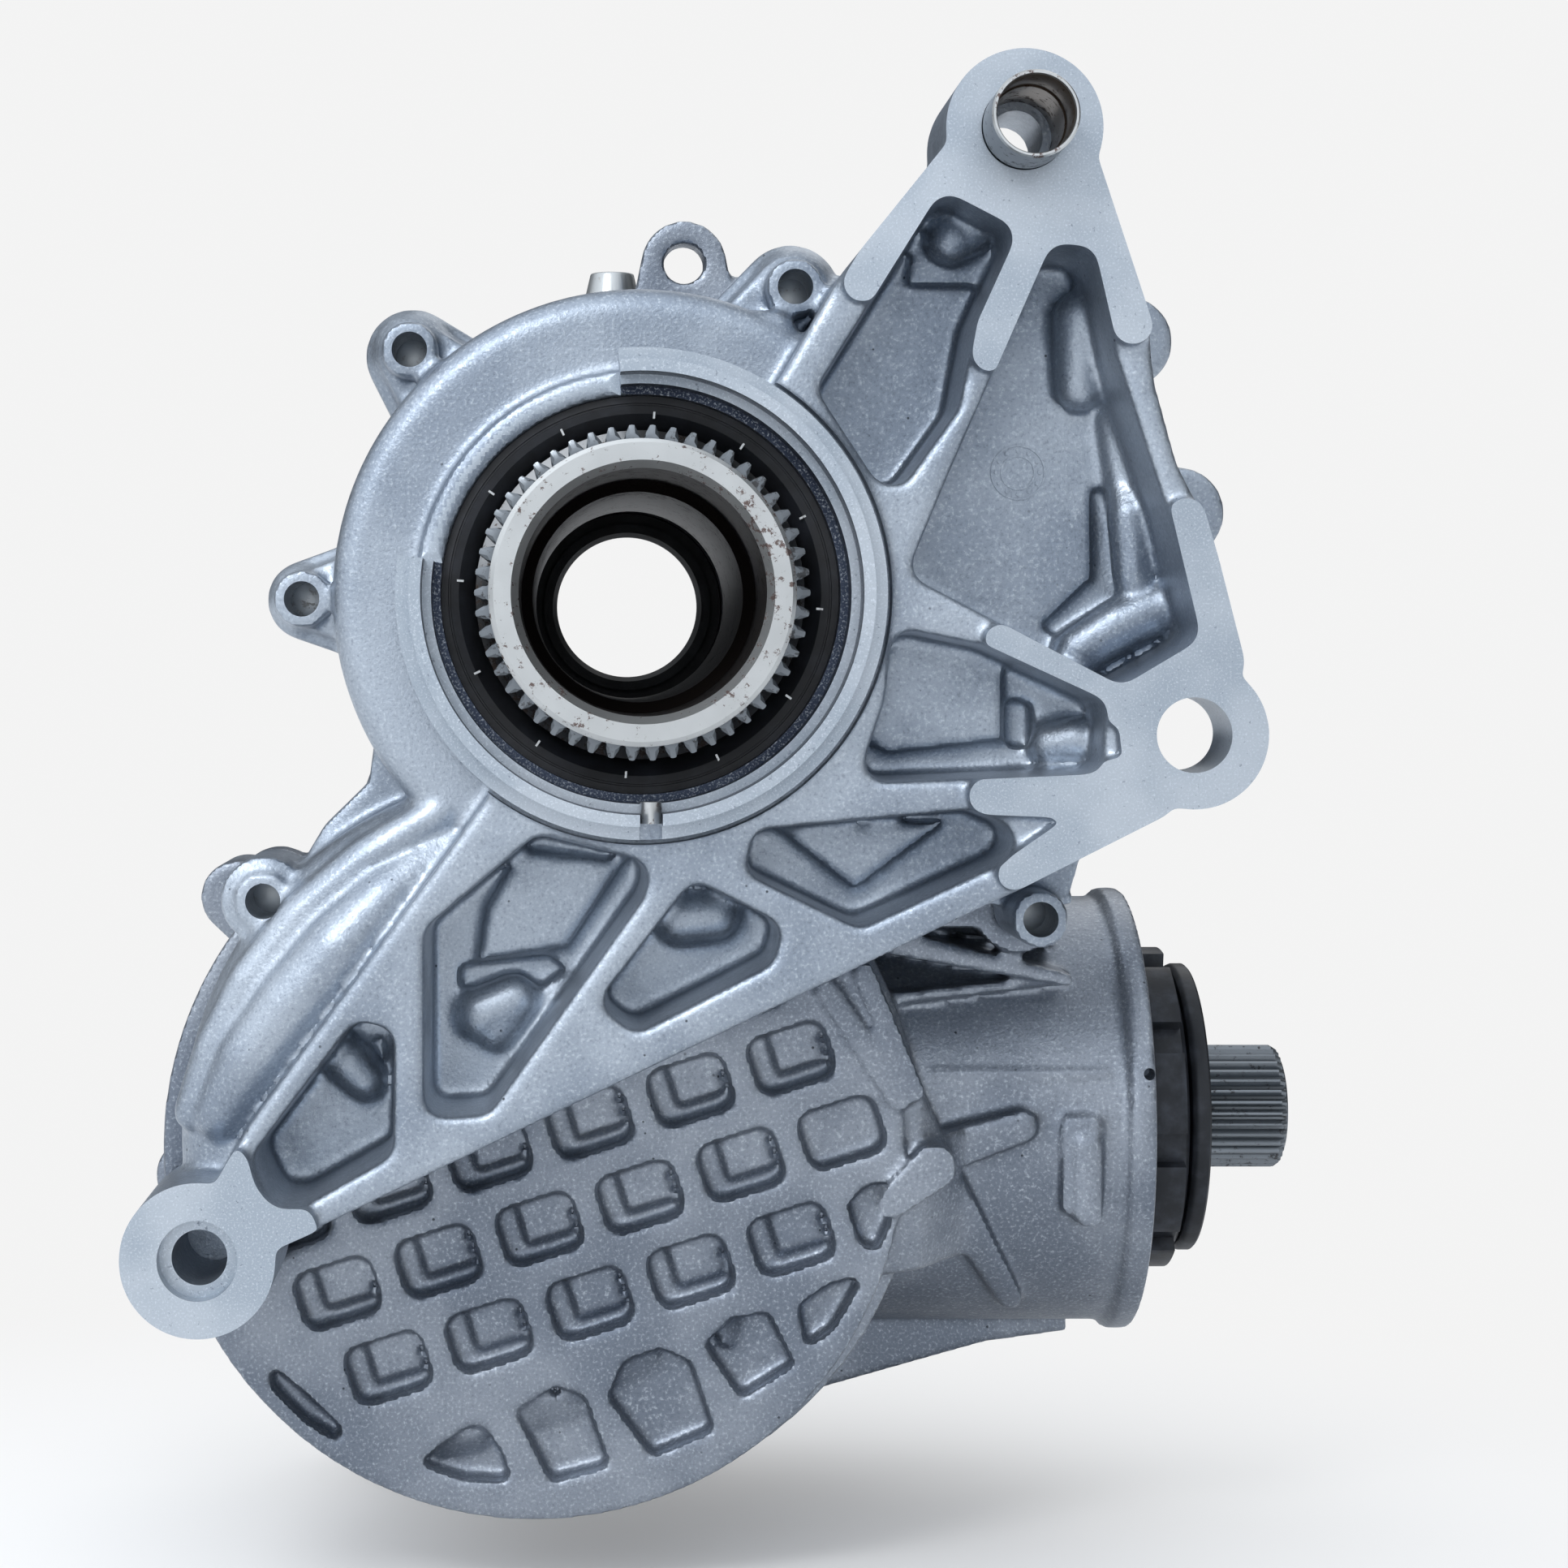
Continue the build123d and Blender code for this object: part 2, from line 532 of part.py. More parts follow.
def input_shaft():
    seat_r, hub_front, hub_back = input_journals()
    bearing_r = input_front_brg[0] - seat
    rear_r = input_rear_brg[0] - seat
    brg_back = input_front_y + input_front_brg[2]
    profile = [
        (nose_bore, nose_y + 1), (nose_bore + 1, nose_y), (nose_r - 1, nose_y), (nose_r, nose_y + 1), (nose_r, nose_y + 4),
        (spline_root_r, nose_y + 4), (spline_root_r, 9), (bearing_r, 11), (bearing_r, brg_back), (36, brg_back), (36, hub_front),
        (seat_r, hub_front), (seat_r, hub_back), (31.5, hub_back), (31.5, hub_back + 1.7), (seat_r, hub_back + 1.7),
        (seat_r, hub_back + 4), (29.5, hub_back + 7), (29.5, input_rear_y), (rear_r, input_rear_y), (rear_r, shaft_end - 1),
        (rear_r - 1, shaft_end), (shaft_bore, shaft_end), (shaft_bore, 32), (nose_bore, 29),
    ]
    shaft = turned_y(profile)
    points = []
    for i in range(spline_teeth):
        for r, k in ((spline_root_r - 0.5, -0.32), (spline_tip_r, -0.16), (spline_tip_r, 0.16), (spline_root_r - 0.5, 0.32)):
            a = 2 * math.pi * (i + k) / spline_teeth
            points.append((r * math.cos(a), r * math.sin(a)))
    teeth = block(make_face(Polyline(*points, close=True)) - Circle(spline_root_r - 2), nose_y + 5, 9.5)
    return shaft + teeth


def input_gear_circlip():
    seat_r, _, hub_back = input_journals()
    clip = ring(0, 0, 36.5, 31.5 + seat, hub_back + seat, hub_back + 1.7 - seat)
    return clip - Pos(0, hub_back + 1, 34) * Box(9, 5, 8)


def driven_gear():
    """Helical gear whose rim dishes forward around the ring shaft's front bearing."""
    hub_front = ring_front_y + ring_front_brg[2]
    rim = helical_rim(driven_teeth, driven_pitch_r, 180 + mesh_angle + 180 / driven_teeth, -1, ring_x, ring_z)
    rim -= rod(ring_x, ring_z, 52, gear_front - 1, hub_front + 2)
    rim += ring(ring_x, ring_z, 55, 24, hub_front + 1.5, hub_front + 6)
    hub = turned_y([(17, hub_front), (20, hub_front), (20, hub_front + 2), (26, hub_front + 2), (26, hub_front + 15), (17, hub_front + 15)], ring_x, ring_z)
    gear = rim + hub - rod(ring_x, ring_z, 17 + seat, hub_front - 1, hub_front + 16)
    for i in range(6):
        a = math.radians(60 * i)
        gear -= rod(ring_x + 39 * math.cos(a), ring_z + 39 * math.sin(a), 7, hub_front, hub_front + 7)
    return gear


cone_ring = math.atan2(ring_teeth, pinion_teeth)
cone_pinion = math.pi / 2 - cone_ring
cone_length = ring_pitch_r / math.sin(cone_ring)
spiral = math.tan(math.radians(30)) / math.sin(cone_ring)
apex = Vector(ring_x, pinion_y, ring_z)
bevel_addendum = 0.8
bevel_dedendum = 1.02


def bevel_section(teeth, cone, distance, angle, axis, start):
    """Planar section of one bevel tooth, square to the pitch cone at a distance from the apex."""
    pitch = distance * math.sin(cone)
    module = 2 * pitch / teeth
    virtual = pitch / math.cos(cone)
    a = start + angle
    if axis == "Y":
        radial, along = Vector(math.cos(a), 0, math.sin(a)), Vector(0, 1, 0)
        side = Vector(-math.sin(a), 0, math.cos(a))
    else:
        radial, along = Vector(0, math.cos(a), math.sin(a)), Vector(1, 0, 0)
        side = Vector(0, -math.sin(a), math.cos(a))
    origin = apex + radial * (distance * math.sin(cone)) + along * (distance * math.cos(cone))
    up = radial * math.cos(cone) - along * math.sin(cone)
    points = []
    heights = [-bevel_dedendum * module - 0.8, -0.35 * module, 0.25 * module, bevel_addendum * module]
    for sign, order in ((-1, heights), (1, heights[::-1])):
        for h in order:
            r = virtual + h
            psi = sign * half_angle(r, virtual, module)
            points.append(origin + side * (r * math.sin(psi)) + up * (r * math.cos(psi) - virtual))
    return Wire.make_polygon(points, close=True)


def bevel_teeth(teeth, cone, axis, first):
    """All teeth of a spiral bevel gear, each one lofted from toe to heel."""
    toe = cone_length - bevel_face
    steps = [toe + bevel_face * k / 3 for k in range(4)]
    middle = toe + bevel_face / 2
    sections = []
    for distance in steps:
        turn = spiral * math.log(distance / middle) * ring_teeth / teeth
        sections.append(bevel_section(teeth, cone, distance, turn, axis, first))
    tooth = Solid.make_loft(sections, ruled=True)
    step = 360 / teeth
    if axis == "Y":
        spin = [Pos(ring_x, 0, ring_z) * Rot(0, step * i, 0) * Pos(-ring_x, 0, -ring_z) for i in range(teeth)]
    else:
        spin = [Pos(0, pinion_y, ring_z) * Rot(step * i, 0, 0) * Pos(0, -pinion_y, -ring_z) for i in range(teeth)]
    return [turn * tooth for turn in spin]


def cone_point(cone, distance, height):
    """(along, radius) from the apex of a point at a height above the pitch cone."""
    return (distance * math.cos(cone) - height * math.sin(cone), distance * math.sin(cone) + height * math.cos(cone))


ring_flange_y = 132.0
ring_pilot_r = 29.0
ring_bolt_r = 35.5


def ring_gear():
    """Spiral bevel ring gear, teeth towards the pinion, bolted to the ring shaft's flange."""
    toe, heel = cone_length - bevel_face, cone_length
    module = 2 * ring_pitch_r / ring_teeth
    y_toe, r_toe = cone_point(cone_ring, toe, -bevel_dedendum * module * toe / heel)
    y_heel, r_heel = cone_point(cone_ring, heel, -bevel_dedendum * module)
    profile = [
        (r_toe, pinion_y + y_toe), (r_heel, pinion_y + y_heel), (r_heel + 1.2, ring_flange_y - 3), (r_heel, ring_flange_y),
        (ring_pilot_r, ring_flange_y), (ring_pilot_r, ring_flange_y - 9), (r_toe - 3, ring_flange_y - 9),
    ]
    gear = turned_y(profile, ring_x, ring_z).fuse(*bevel_teeth(ring_teeth, cone_ring, "Y", math.pi / ring_teeth))
    gear -= rod(ring_x, ring_z, ring_pilot_r + seat, 100, ring_flange_y + 1)
    gear &= rod(ring_x, ring_z, ring_pitch_r + 1.5, 100, ring_flange_y)
    for x, z in ring_bolt_spots():
        gear -= rod(x, z, bolt_r + seat, 118, ring_flange_y + 1)
    return gear


def ring_bolt_spots():
    step = 2 * math.pi / 8
    return [(ring_x + ring_bolt_r * math.cos(step * i), ring_z + ring_bolt_r * math.sin(step * i)) for i in range(8)]


def hex_bolt(x, z, under, length, head, across=13.0):
    """Flanged bolt whose shank runs from its seat towards the front."""
    bolt = rod(x, z, bolt_r, under - length, under)
    bolt += rod(x, z, head_r, under, under + 1.6)
    bolt += block(Pos(x, z) * RegularPolygon(across / 2, 6, major_radius=False), under, under + head)
    return bolt


def ring_shaft():
    back = ring_flange_y
    front = ring_front_y
    small, big = ring_front_brg[0] - seat, ring_rear_brg[0] - seat
    hub = ring_front_y + ring_front_brg[2]
    end = ring_rear_y + ring_rear_brg[2]
    profile = [
        (0, front + 0.5), (small - 1, front + 0.5), (small, front + 1.5), (small, hub), (17, hub), (17, hub + 15), (21, hub + 15),
        (21, hub + 20), (18, hub + 24), (18, back - 16), (ring_pilot_r, back - 9), (ring_pilot_r, back), (45, back),
        (45, back + 6), (21, back + 8), (21, ring_rear_y), (big, ring_rear_y), (big, end - 1), (big - 1, end), (0, end),
    ]
    shaft = turned_y(profile, ring_x, ring_z)
    for x, z in ring_bolt_spots():
        shaft -= rod(x, z, bolt_r + bolt_clear, back - 1, back + 9)
        shaft -= rod(x, z, head_r + 0.6, back + 5.5, back + 12)
    return shaft


def ring_gear_bolts():
    return [hex_bolt(x, z, ring_flange_y + 5.5, 14, 4.8, across=11) for x, z in ring_bolt_spots()]


# Pinion line

def output_spline():
    points = []
    for i in range(output_teeth):
        for r, k in ((output_r - 1.4, -0.34), (output_r, -0.15), (output_r, 0.15), (output_r - 1.4, 0.34)):
            a = 2 * math.pi * (i + k) / output_teeth
            points.append((r * math.cos(a), r * math.sin(a)))
    plane = Plane(origin=(output_end, pinion_y, ring_z), x_dir=(0, 1, 0), z_dir=(1, 0, 0))
    spline = extrude(plane * make_face(Polyline(*points, close=True)), amount=-20)
    far = output_r + 1
    return spline & turned_x([
        (output_end - 21, 0), (output_end - 21, far), (output_end - far + output_r - 1.5, far), (output_end, output_r - 1.5), (output_end, 0),
    ])


def pinion_shaft():
    """Spiral bevel pinion with its stem, threaded and splined towards the propeller shaft."""
    toe, heel = cone_length - bevel_face, cone_length
    module = 2 * ring_pitch_r / ring_teeth
    x_toe, r_toe = cone_point(cone_pinion, toe, -bevel_dedendum * module * toe / heel)
    x_heel, r_heel = cone_point(cone_pinion, heel, -bevel_dedendum * module)
    head_r_, tail_r = head_brg[0] - seat, tail_brg[0] - seat
    tail_end = tail_x + tail_brg[2]
    profile = [
        (ring_x + x_toe - 1.5, 0), (ring_x + x_toe - 1.5, r_toe - 3), (ring_x + x_toe - 0.5, r_toe - 0.2),
        (ring_x + x_heel + 0.5, r_heel + 0.1),
        (head_x - 1.5, r_heel - 1), (head_x, 21), (head_x, head_r_), (head_x + head_brg[2] - 1, head_r_), (head_x + head_brg[2], tail_r),
        (tail_end + 8, tail_r), (tail_end + 9, 13.2), (output_end - 20, 13.2), (output_end - 19, output_r - 1.6),
        (output_end - 0.8, output_r - 1.6), (output_end, output_r - 2.4), (output_end, 0),
    ]
    return turned_x(profile).fuse(*bevel_teeth(pinion_teeth, cone_pinion, "X", 0.0), output_spline())


def crush_sleeve():
    inner = tail_brg[0] + 0.3
    front, back = head_x + 0.86 * head_brg[2], tail_x + 0.14 * tail_brg[2]
    mid = (front + back) / 2
    return turned_x([
        (front, inner + 1.9), (front, 19), (mid - 5, 19), (mid, 21), (mid + 5, 19), (back, 19),
        (back, inner), (mid + 5, inner), (mid, inner + 2), (mid - 3, inner + 1), (front + 3.5, inner + 1.9),
    ])


def pinion_nut():
    start = tail_x + tail_brg[2]
    plane = Plane(origin=(start + 1.5, pinion_y, ring_z), x_dir=(0, 1, 0), z_dir=(1, 0, 0))
    nut = extrude(plane * (RegularPolygon(18, 6, major_radius=False) & Circle(20)), amount=6)
    nut += turned_x([(start, 0), (start, 19), (start + 1.5, 19), (start + 1.5, 0)])
    return nut - turned_x([(start - 1, 0), (start - 1, tail_brg[0]), (start + 9, tail_brg[0]), (start + 9, 0)])


def pinion_lock_ring():
    """Notched ring that threads into the snout and holds the tail cup."""
    start = tail_x + tail_brg[2] + 0.3
    outer = tail_brg[1] - seat
    ring_body = turned_x([
        (start, 24.5), (start, outer), (snout_end + 0.3, outer), (snout_end + 0.3, lock_r - 3), (snout_end + 8.5, lock_r - 3),
        (snout_end + 9.5, lock_r - 4), (snout_end + 9.5, 24.5),
    ])
    lug = lock_lug_sector()
    plane = Plane(origin=(snout_end + 0.3, pinion_y, ring_z), x_dir=(0, 1, 0), z_dir=(1, 0, 0))
    lugs = None
    for i in range(lock_teeth):
        piece = extrude(plane * (Rot(0, 0, 360 * i / lock_teeth + 8) * lug), amount=8)
        lugs = piece if lugs is None else lugs + piece
    return ring_body + lugs


def lock_lug_sector():
    """One lug of the lock ring, seen along the pinion."""
    half = math.radians(14)
    far = 60
    wedge = make_face(Polyline((0, 0), (far * math.cos(half), -far * math.sin(half)), (far * math.cos(half), far * math.sin(half)), close=True))
    return (Circle(lock_r) - Circle(lock_r - 4)) & wedge


def pinion_seal():
    start = snout_end - 3
    return turned_x([
        (start, 22), (start, 24.5 - seat), (start + 9, 24.5 - seat), (start + 9, 16), (start + 7.5, 14.2), (start + 6, 13.25),
        (start + 4.5, 13.25), (start + 4.5, 15), (start + 7, 17), (start + 7, 22),
    ])


def pinion_dust_shield():
    start = snout_end + 10
    return turned_x([
        (start, 13.2 + seat), (start, flange_seal_r - 5), (start + 0.3, flange_seal_r - 1), (start + 1.5, flange_seal_r), (start + 4, flange_seal_r),
        (start + 4, flange_seal_r - 3), (start + 3, 20), (start + 3.8, 17), (start + 3.8, 13.2 + seat),
    ])


# Bearings

def bearing_lines(spec):
    """Roller axis, size and race lines of a tapered bearing, along s from the cone's back face."""
    bore, outer, width, count = spec
    tilt, taper = math.radians(12), math.radians(2)
    roller_r = 0.21 * (outer - bore)
    axis_r = (outer + bore) / 2 + 0.02 * (outer - bore)
    middle = 0.5 * width
    length = 0.58 * width
    return bore, outer, width, count, tilt, taper, roller_r, axis_r, middle, length


def cup_profile(spec):
    bore, outer, width, count, tilt, taper, roller_r, axis_r, middle, length = bearing_lines(spec)
    def race(s):
        return axis_r + (roller_r + race_gap) / math.cos(tilt) - math.tan(tilt + taper) * (s - middle)
    start = 0.2 * width
    return [(outer, start + 0.8), (outer, width - 1), (outer - 1, width), (race(width), width), (race(start), start), (outer - 0.8, start)]


def cone_profile(spec):
    bore, outer, width, count, tilt, taper, roller_r, axis_r, middle, length = bearing_lines(spec)
    def race(s):
        return axis_r - (roller_r + race_gap) / math.cos(tilt) - math.tan(tilt - taper) * (s - middle)
    big = middle - length / 2 - roller_r * math.sin(tilt) - 0.35
    small = middle + length / 2 + 0.3
    return [
        (bore, 0), (race(big) + 0.6 * roller_r, 0), (race(big) + 0.6 * roller_r, big), (race(big), big), (race(small), small),
        (race(small) + 0.25 * roller_r, small), (race(small) + 0.25 * roller_r, 0.86 * width), (bore, 0.86 * width),
    ]


def roller_set(spec):
    """Rollers and the windowed cage between them, about the Y axis, with s along +Y."""
    bore, outer, width, count, tilt, taper, roller_r, axis_r, middle, length = bearing_lines(spec)
    grow = math.tan(taper) * length / 2

    def place(i):
        return Rot(0, 360 * i / count, 0) * Pos(axis_r, middle, 0) * Rot(0, 0, math.degrees(tilt)) * Rot(-90, 0, 0)

    rollers = [place(i) * Cone(roller_r + grow, roller_r - grow, length) for i in range(count)]
    windows = [place(i) * Cylinder(roller_r + 0.35, length + 0.5) for i in range(count)]
    def line(s, off):
        return (axis_r + off - math.tan(tilt) * (s - middle), s)
    low, high = middle - length / 2 - 1.4, middle + length / 2 + 1.4
    near, far = 0.3 * roller_r, 0.3 * roller_r + 1.1
    cage = turned_y([line(low, near), line(high, near), line(high, far), line(low, far)])
    return [cage - windows] + rollers


def place_y(shape, x, z, back, side):
    """Put a bearing piece on an axis along Y; side 1 leaves s along +Y, -1 turns it round."""
    turn = Rot(0, 0, 0) if side == 1 else Rot(180, 0, 0)
    return Pos(x, back, z) * turn * shape


def place_x(shape, back, side):
    """Put a bearing piece on the pinion's axis."""
    turn = Rot(0, 0, -90) if side == 1 else Rot(0, 0, 90)
    return Pos(back, pinion_y, ring_z) * turn * shape


def bearings():
    front_back = input_front_y + input_front_brg[2]
    ring_front_back = ring_front_y + ring_front_brg[2]
    tail_back = tail_x + tail_brg[2]
    lines = {
        "input_front": (input_front_brg, lambda s: place_y(s, 0, 0, front_back, -1)),
        "input_rear": (input_rear_brg, lambda s: place_y(s, 0, 0, input_rear_y, 1)),
        "ring_front": (ring_front_brg, lambda s: place_y(s, ring_x, ring_z, ring_front_back, -1)),
        "ring_rear": (ring_rear_brg, lambda s: place_y(s, ring_x, ring_z, ring_rear_y, 1)),
        "pinion_head": (head_brg, lambda s: place_x(s, head_x, 1)),
        "pinion_tail": (tail_brg, lambda s: place_x(s, tail_back, -1)),
    }
    for name, (spec, put) in lines.items():
        write(f"{name}_cup", put(turned_y(cup_profile(spec))))
        write(f"{name}_cone", put(turned_y(cone_profile(spec))))
        write(f"{name}_rollers", [put(piece) for piece in roller_set(spec)])


# Seals, dowels, plugs and bolts

def input_front_seal():
    inner, outer = input_front_brg[0] + 0.05, 37.5 - seat
    return turned_y([(inner + 3, 12), (outer, 12), (outer, 20), (inner + 1.2, 20), (inner, 18), (inner, 17), (inner + 1, 15), (inner + 3, 14.5)])


def axle_seal():
    start = axle_seal_y + 0.2
    outer = axle_seal_od - seat
    return turned_y([
        (outer, start), (outer, start + 9.5), (19, start + 9.5), (16.8, start + 8), (axle_seal_id, start + 6.5), (axle_seal_id, start + 4.5),
        (17, start + 3), (19, start + 3), (19, start + 7), (21.5, start + 7), (21.5, start),
    ])


def front_joint_bolts():
    return [hex_bolt(*ear, joint_y + flange, 24, head_h) for ear in case_ears]


def rear_cover_bolts():
    return [hex_bolt(*spot, drum_back + cover_flange, 20, head_h) for spot in cover_ring()]


def case_dowel_pins():
    return [rod(*spot, dowel_pin_r, joint_y - 7.5, joint_y + 7.5) for spot in dowel_pins]


def hollow_dowel():
    """Dowel sleeve with a shallow relief where it meets the ear's face."""
    back = dowel_hold - 0.2
    return turned_y([
        (dowel_bore, -dowel_stand), (dowel_r - 0.5, -dowel_stand), (dowel_r, 0.7 - dowel_stand), (dowel_r, -0.5),
        (dowel_r - 0.4, -0.1), (dowel_r - 0.4, 0.8), (dowel_r, 1.2), (dowel_r, back - 0.6), (dowel_r - 0.5, back), (dowel_bore, back),
    ], *top_ear)


def plug(spot, recess):
    """Magnetic case plug with a socket head."""
    face = drum_back + cover_flange + 5 + 1.5
    body = rod(*spot, plug_r, face - 13, face) + rod(*spot, plug_r + 3.5, face, face + 4)
    return body - block(Pos(*spot) * RegularPolygon(recess, 6, major_radius=False), face - 4, face + 5)


def build():
    write("front_housing", front_housing())
    write("main_housing", main_housing())
    write("rear_cover", rear_cover())
    write("input_shaft", input_shaft())
    write("input_gear", input_gear())
    write("input_gear_circlip", input_gear_circlip())
    write("ring_shaft", ring_shaft())
    write("driven_gear", driven_gear())
    write("ring_gear", ring_gear())
    write("ring_gear_bolts", ring_gear_bolts())
    write("pinion_shaft", pinion_shaft())
    write("crush_sleeve", crush_sleeve())
    write("pinion_nut", pinion_nut())
    write("pinion_lock_ring", pinion_lock_ring())
    write("pinion_seal", pinion_seal())
    write("pinion_dust_shield", pinion_dust_shield())
    bearings()
    write("input_front_seal", input_front_seal())
    write("axle_seal", axle_seal())
    write("front_joint_bolts", front_joint_bolts())
    write("rear_cover_bolts", rear_cover_bolts())
    write("case_dowel_pins", case_dowel_pins())
    write("hollow_dowel", hollow_dowel())
    write("locating_pin", Pos(key_pin_x, -1, -40.5) * Cylinder(2.0, 4))
    write("ring_bearing_shim", ring(ring_x, ring_z, ring_rear_brg[1] - 0.1, ring_rear_brg[1] - 6, ring_rear_y + ring_rear_brg[2], ring_rear_y + ring_rear_brg[2] + shim))
    write("pinion_shim", turned_x([(head_x + head_brg[2], 28.5), (head_x + head_brg[2], 33.9), (head_x + head_brg[2] + shim, 33.9), (head_x + head_brg[2] + shim, 28.5)]))
    washers = []
    for name, spot, recess in (("fill_plug", plug_spots()[0], 5.0), ("drain_plug", plug_spots()[1], 5.0)):
        write(name, plug(spot, recess))
        face = drum_back + cover_flange + 5
        washers.append(ring(*spot, plug_r + 3, plug_r + 0.1, face, face + 1.5))
    write("plug_washers", washers)
    x, y, z = breather
    write("breather_cap", Pos(x, y, z - 8) * Cylinder(2.5, 8, align=(Align.CENTER, Align.CENTER, Align.MIN)) + Pos(x, y, z) * Cone(5.8, 4.4, 6, align=(Align.CENTER, Align.CENTER, Align.MIN)))


if __name__ == "__main__":
    build()
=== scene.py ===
import json
import math

import bmesh
import bpy
import numpy as np
from mathutils import Matrix, Vector


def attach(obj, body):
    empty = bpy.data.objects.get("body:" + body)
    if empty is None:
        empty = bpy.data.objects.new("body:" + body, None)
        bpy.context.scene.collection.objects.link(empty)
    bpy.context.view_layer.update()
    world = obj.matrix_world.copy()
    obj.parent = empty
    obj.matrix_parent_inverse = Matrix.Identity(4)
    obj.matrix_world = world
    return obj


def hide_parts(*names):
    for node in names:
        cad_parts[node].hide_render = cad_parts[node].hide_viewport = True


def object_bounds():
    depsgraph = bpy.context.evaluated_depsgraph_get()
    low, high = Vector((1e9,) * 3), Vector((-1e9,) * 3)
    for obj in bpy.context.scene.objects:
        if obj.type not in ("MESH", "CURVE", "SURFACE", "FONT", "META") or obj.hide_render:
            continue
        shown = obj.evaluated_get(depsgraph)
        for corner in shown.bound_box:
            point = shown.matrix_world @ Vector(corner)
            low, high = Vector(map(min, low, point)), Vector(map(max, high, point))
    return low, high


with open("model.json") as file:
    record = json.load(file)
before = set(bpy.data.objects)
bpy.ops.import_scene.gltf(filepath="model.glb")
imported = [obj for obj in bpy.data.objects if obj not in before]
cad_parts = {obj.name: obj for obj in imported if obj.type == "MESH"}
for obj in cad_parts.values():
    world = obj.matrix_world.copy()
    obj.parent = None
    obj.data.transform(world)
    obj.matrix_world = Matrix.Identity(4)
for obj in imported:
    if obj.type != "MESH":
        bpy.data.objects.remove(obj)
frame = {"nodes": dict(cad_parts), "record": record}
cad_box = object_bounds()
nodes = frame["nodes"]

# Axes and levels of the case, in metres. The input line is the Y axis, and the ear faces lie at y = 0.
RING_Z = -0.108
DISC_X, DISC_Z, DISC_R = -0.0203, -0.1085, 0.073
PINION_Y = 0.098
PINION_LINE = (PINION_Y, RING_Z)
DRUM_FRONT = 0.038
SNOUT_END = 0.105
SNOUT_R = 0.045
SNOUT_BORE_R = 0.03102
SNOUT_LINE_Z = -0.0956
TOP_EAR, RIGHT_EAR, LOWER_EAR = (0.0709, 0.0863), (0.1023, -0.0262), (-0.0822, -0.1235)
DOWEL_SEAT_R, EAR_BOLT_R, RIGHT_HOLE_R, LOWER_SINK_R = 0.00802, 0.0052, 0.007, 0.0075
TAPPED = [(-0.0439, 0.0471), (-0.0645, -0.0006), (-0.0719, -0.0584), (0.0299, 0.0591), (0.0768, -0.0619)]
TAP_R = 0.0034

# Machined collar about the input line: radii, levels, and the notch's two ends in degrees
FLANGE_R, PILOT_R, MOUTH_R, SEAT_R, SEAL_R, CUP_R = 0.0456, 0.0429, 0.0407, 0.039, 0.0375, 0.0349
COLLAR_FRONT, MOUTH_BACK, SEAT_BACK, SEAL_BACK, CUP_FACE = -0.006, 0.0015, 0.008, 0.023, 0.0255
NOTCH_FLOOR = 0.010
NOTCH = (95.6, 171.0)
COLLAR_ARC = (-189.6, NOTCH[0])
ROUGH_FACE = -0.0025
CLEAR_FRONT = -0.02

# The photograph's frame: its eye's distance in mm, its middle, the input line from there, and mm to a pixel
EYE_AWAY, EYE_PX, EYE_PY, LINE_PX, LINE_PY, PX_MM = 600.0, 698, 820, 93, 88, 0.15


def seen(px, py, y):
    """Place in metres of a point of the photograph's frame that lies y millimetres behind the ear faces."""
    s = EYE_AWAY / (EYE_AWAY + y)
    x, z = ((px - EYE_PX) / s - LINE_PX) * PX_MM, -((py - EYE_PY) / s + LINE_PY) * PX_MM
    return Vector((x, y, z)) * 0.001


# Shader nodes

class Val:
    """A shader socket that takes part in Python arithmetic."""

    tree = None

    def __init__(self, socket):
        self.socket = socket

    @staticmethod
    def node(kind, settings=None, **inputs):
        made = Val.tree.nodes.new(kind)
        for name, value in (settings or {}).items():
            setattr(made, name, value)
        for name, value in inputs.items():
            key = int(name[1:]) if name[0] == "i" and name[1:].isdigit() else name.replace("_", " ")
            link(made.inputs[key], value)
        return made

    def math(self, operation, other=0.0):
        made = Val.node("ShaderNodeMath", {"operation": operation}, i0=self, i1=other)
        return Val(made.outputs[0])

    def __add__(self, other):
        return self.math("ADD", other)

    def __mul__(self, other):
        return self.math("MULTIPLY", other)

    def __sub__(self, other):
        return self.math("SUBTRACT", other)

    def __rsub__(self, other):
        return (self * -1.0) + other

    __radd__ = __add__
    __rmul__ = __mul__

    def ramp(self, low, high, start=0.0, end=1.0):
        """start below low and end above high, smooth between them."""
        smooth = {"interpolation_type": "SMOOTHSTEP"}
        made = Val.node("ShaderNodeMapRange", smooth, i0=self, i1=low, i2=high, i3=start, i4=end)
        return Val(made.outputs[0])


def link(socket, value):
    """Feed a socket from another one, or set it to a constant."""
    if isinstance(value, Val):
        value = value.socket
    if isinstance(value, bpy.types.NodeSocket):
        Val.tree.links.new(value, socket)
    elif isinstance(value, (tuple, list)):
        socket.default_value = tuple(value)
    else:
        socket.default_value = value


def mix(factor, a, b):
    """Colour between a and b."""
    made = Val.node("ShaderNodeMix", {"data_type": "RGBA"})
    link(made.inputs[0], factor)
    link(made.inputs[6], a)
    link(made.inputs[7], b)
    return Val(made.outputs[2])


def rgb(r, g, b):
    """Linear colour of an sRGB triple out of 255."""
    def linear(c):
        c /= 255
        return c / 12.92 if c <= 0.04045 else ((c + 0.055) / 1.055) ** 2.4
    return (linear(r), linear(g), linear(b), 1.0)


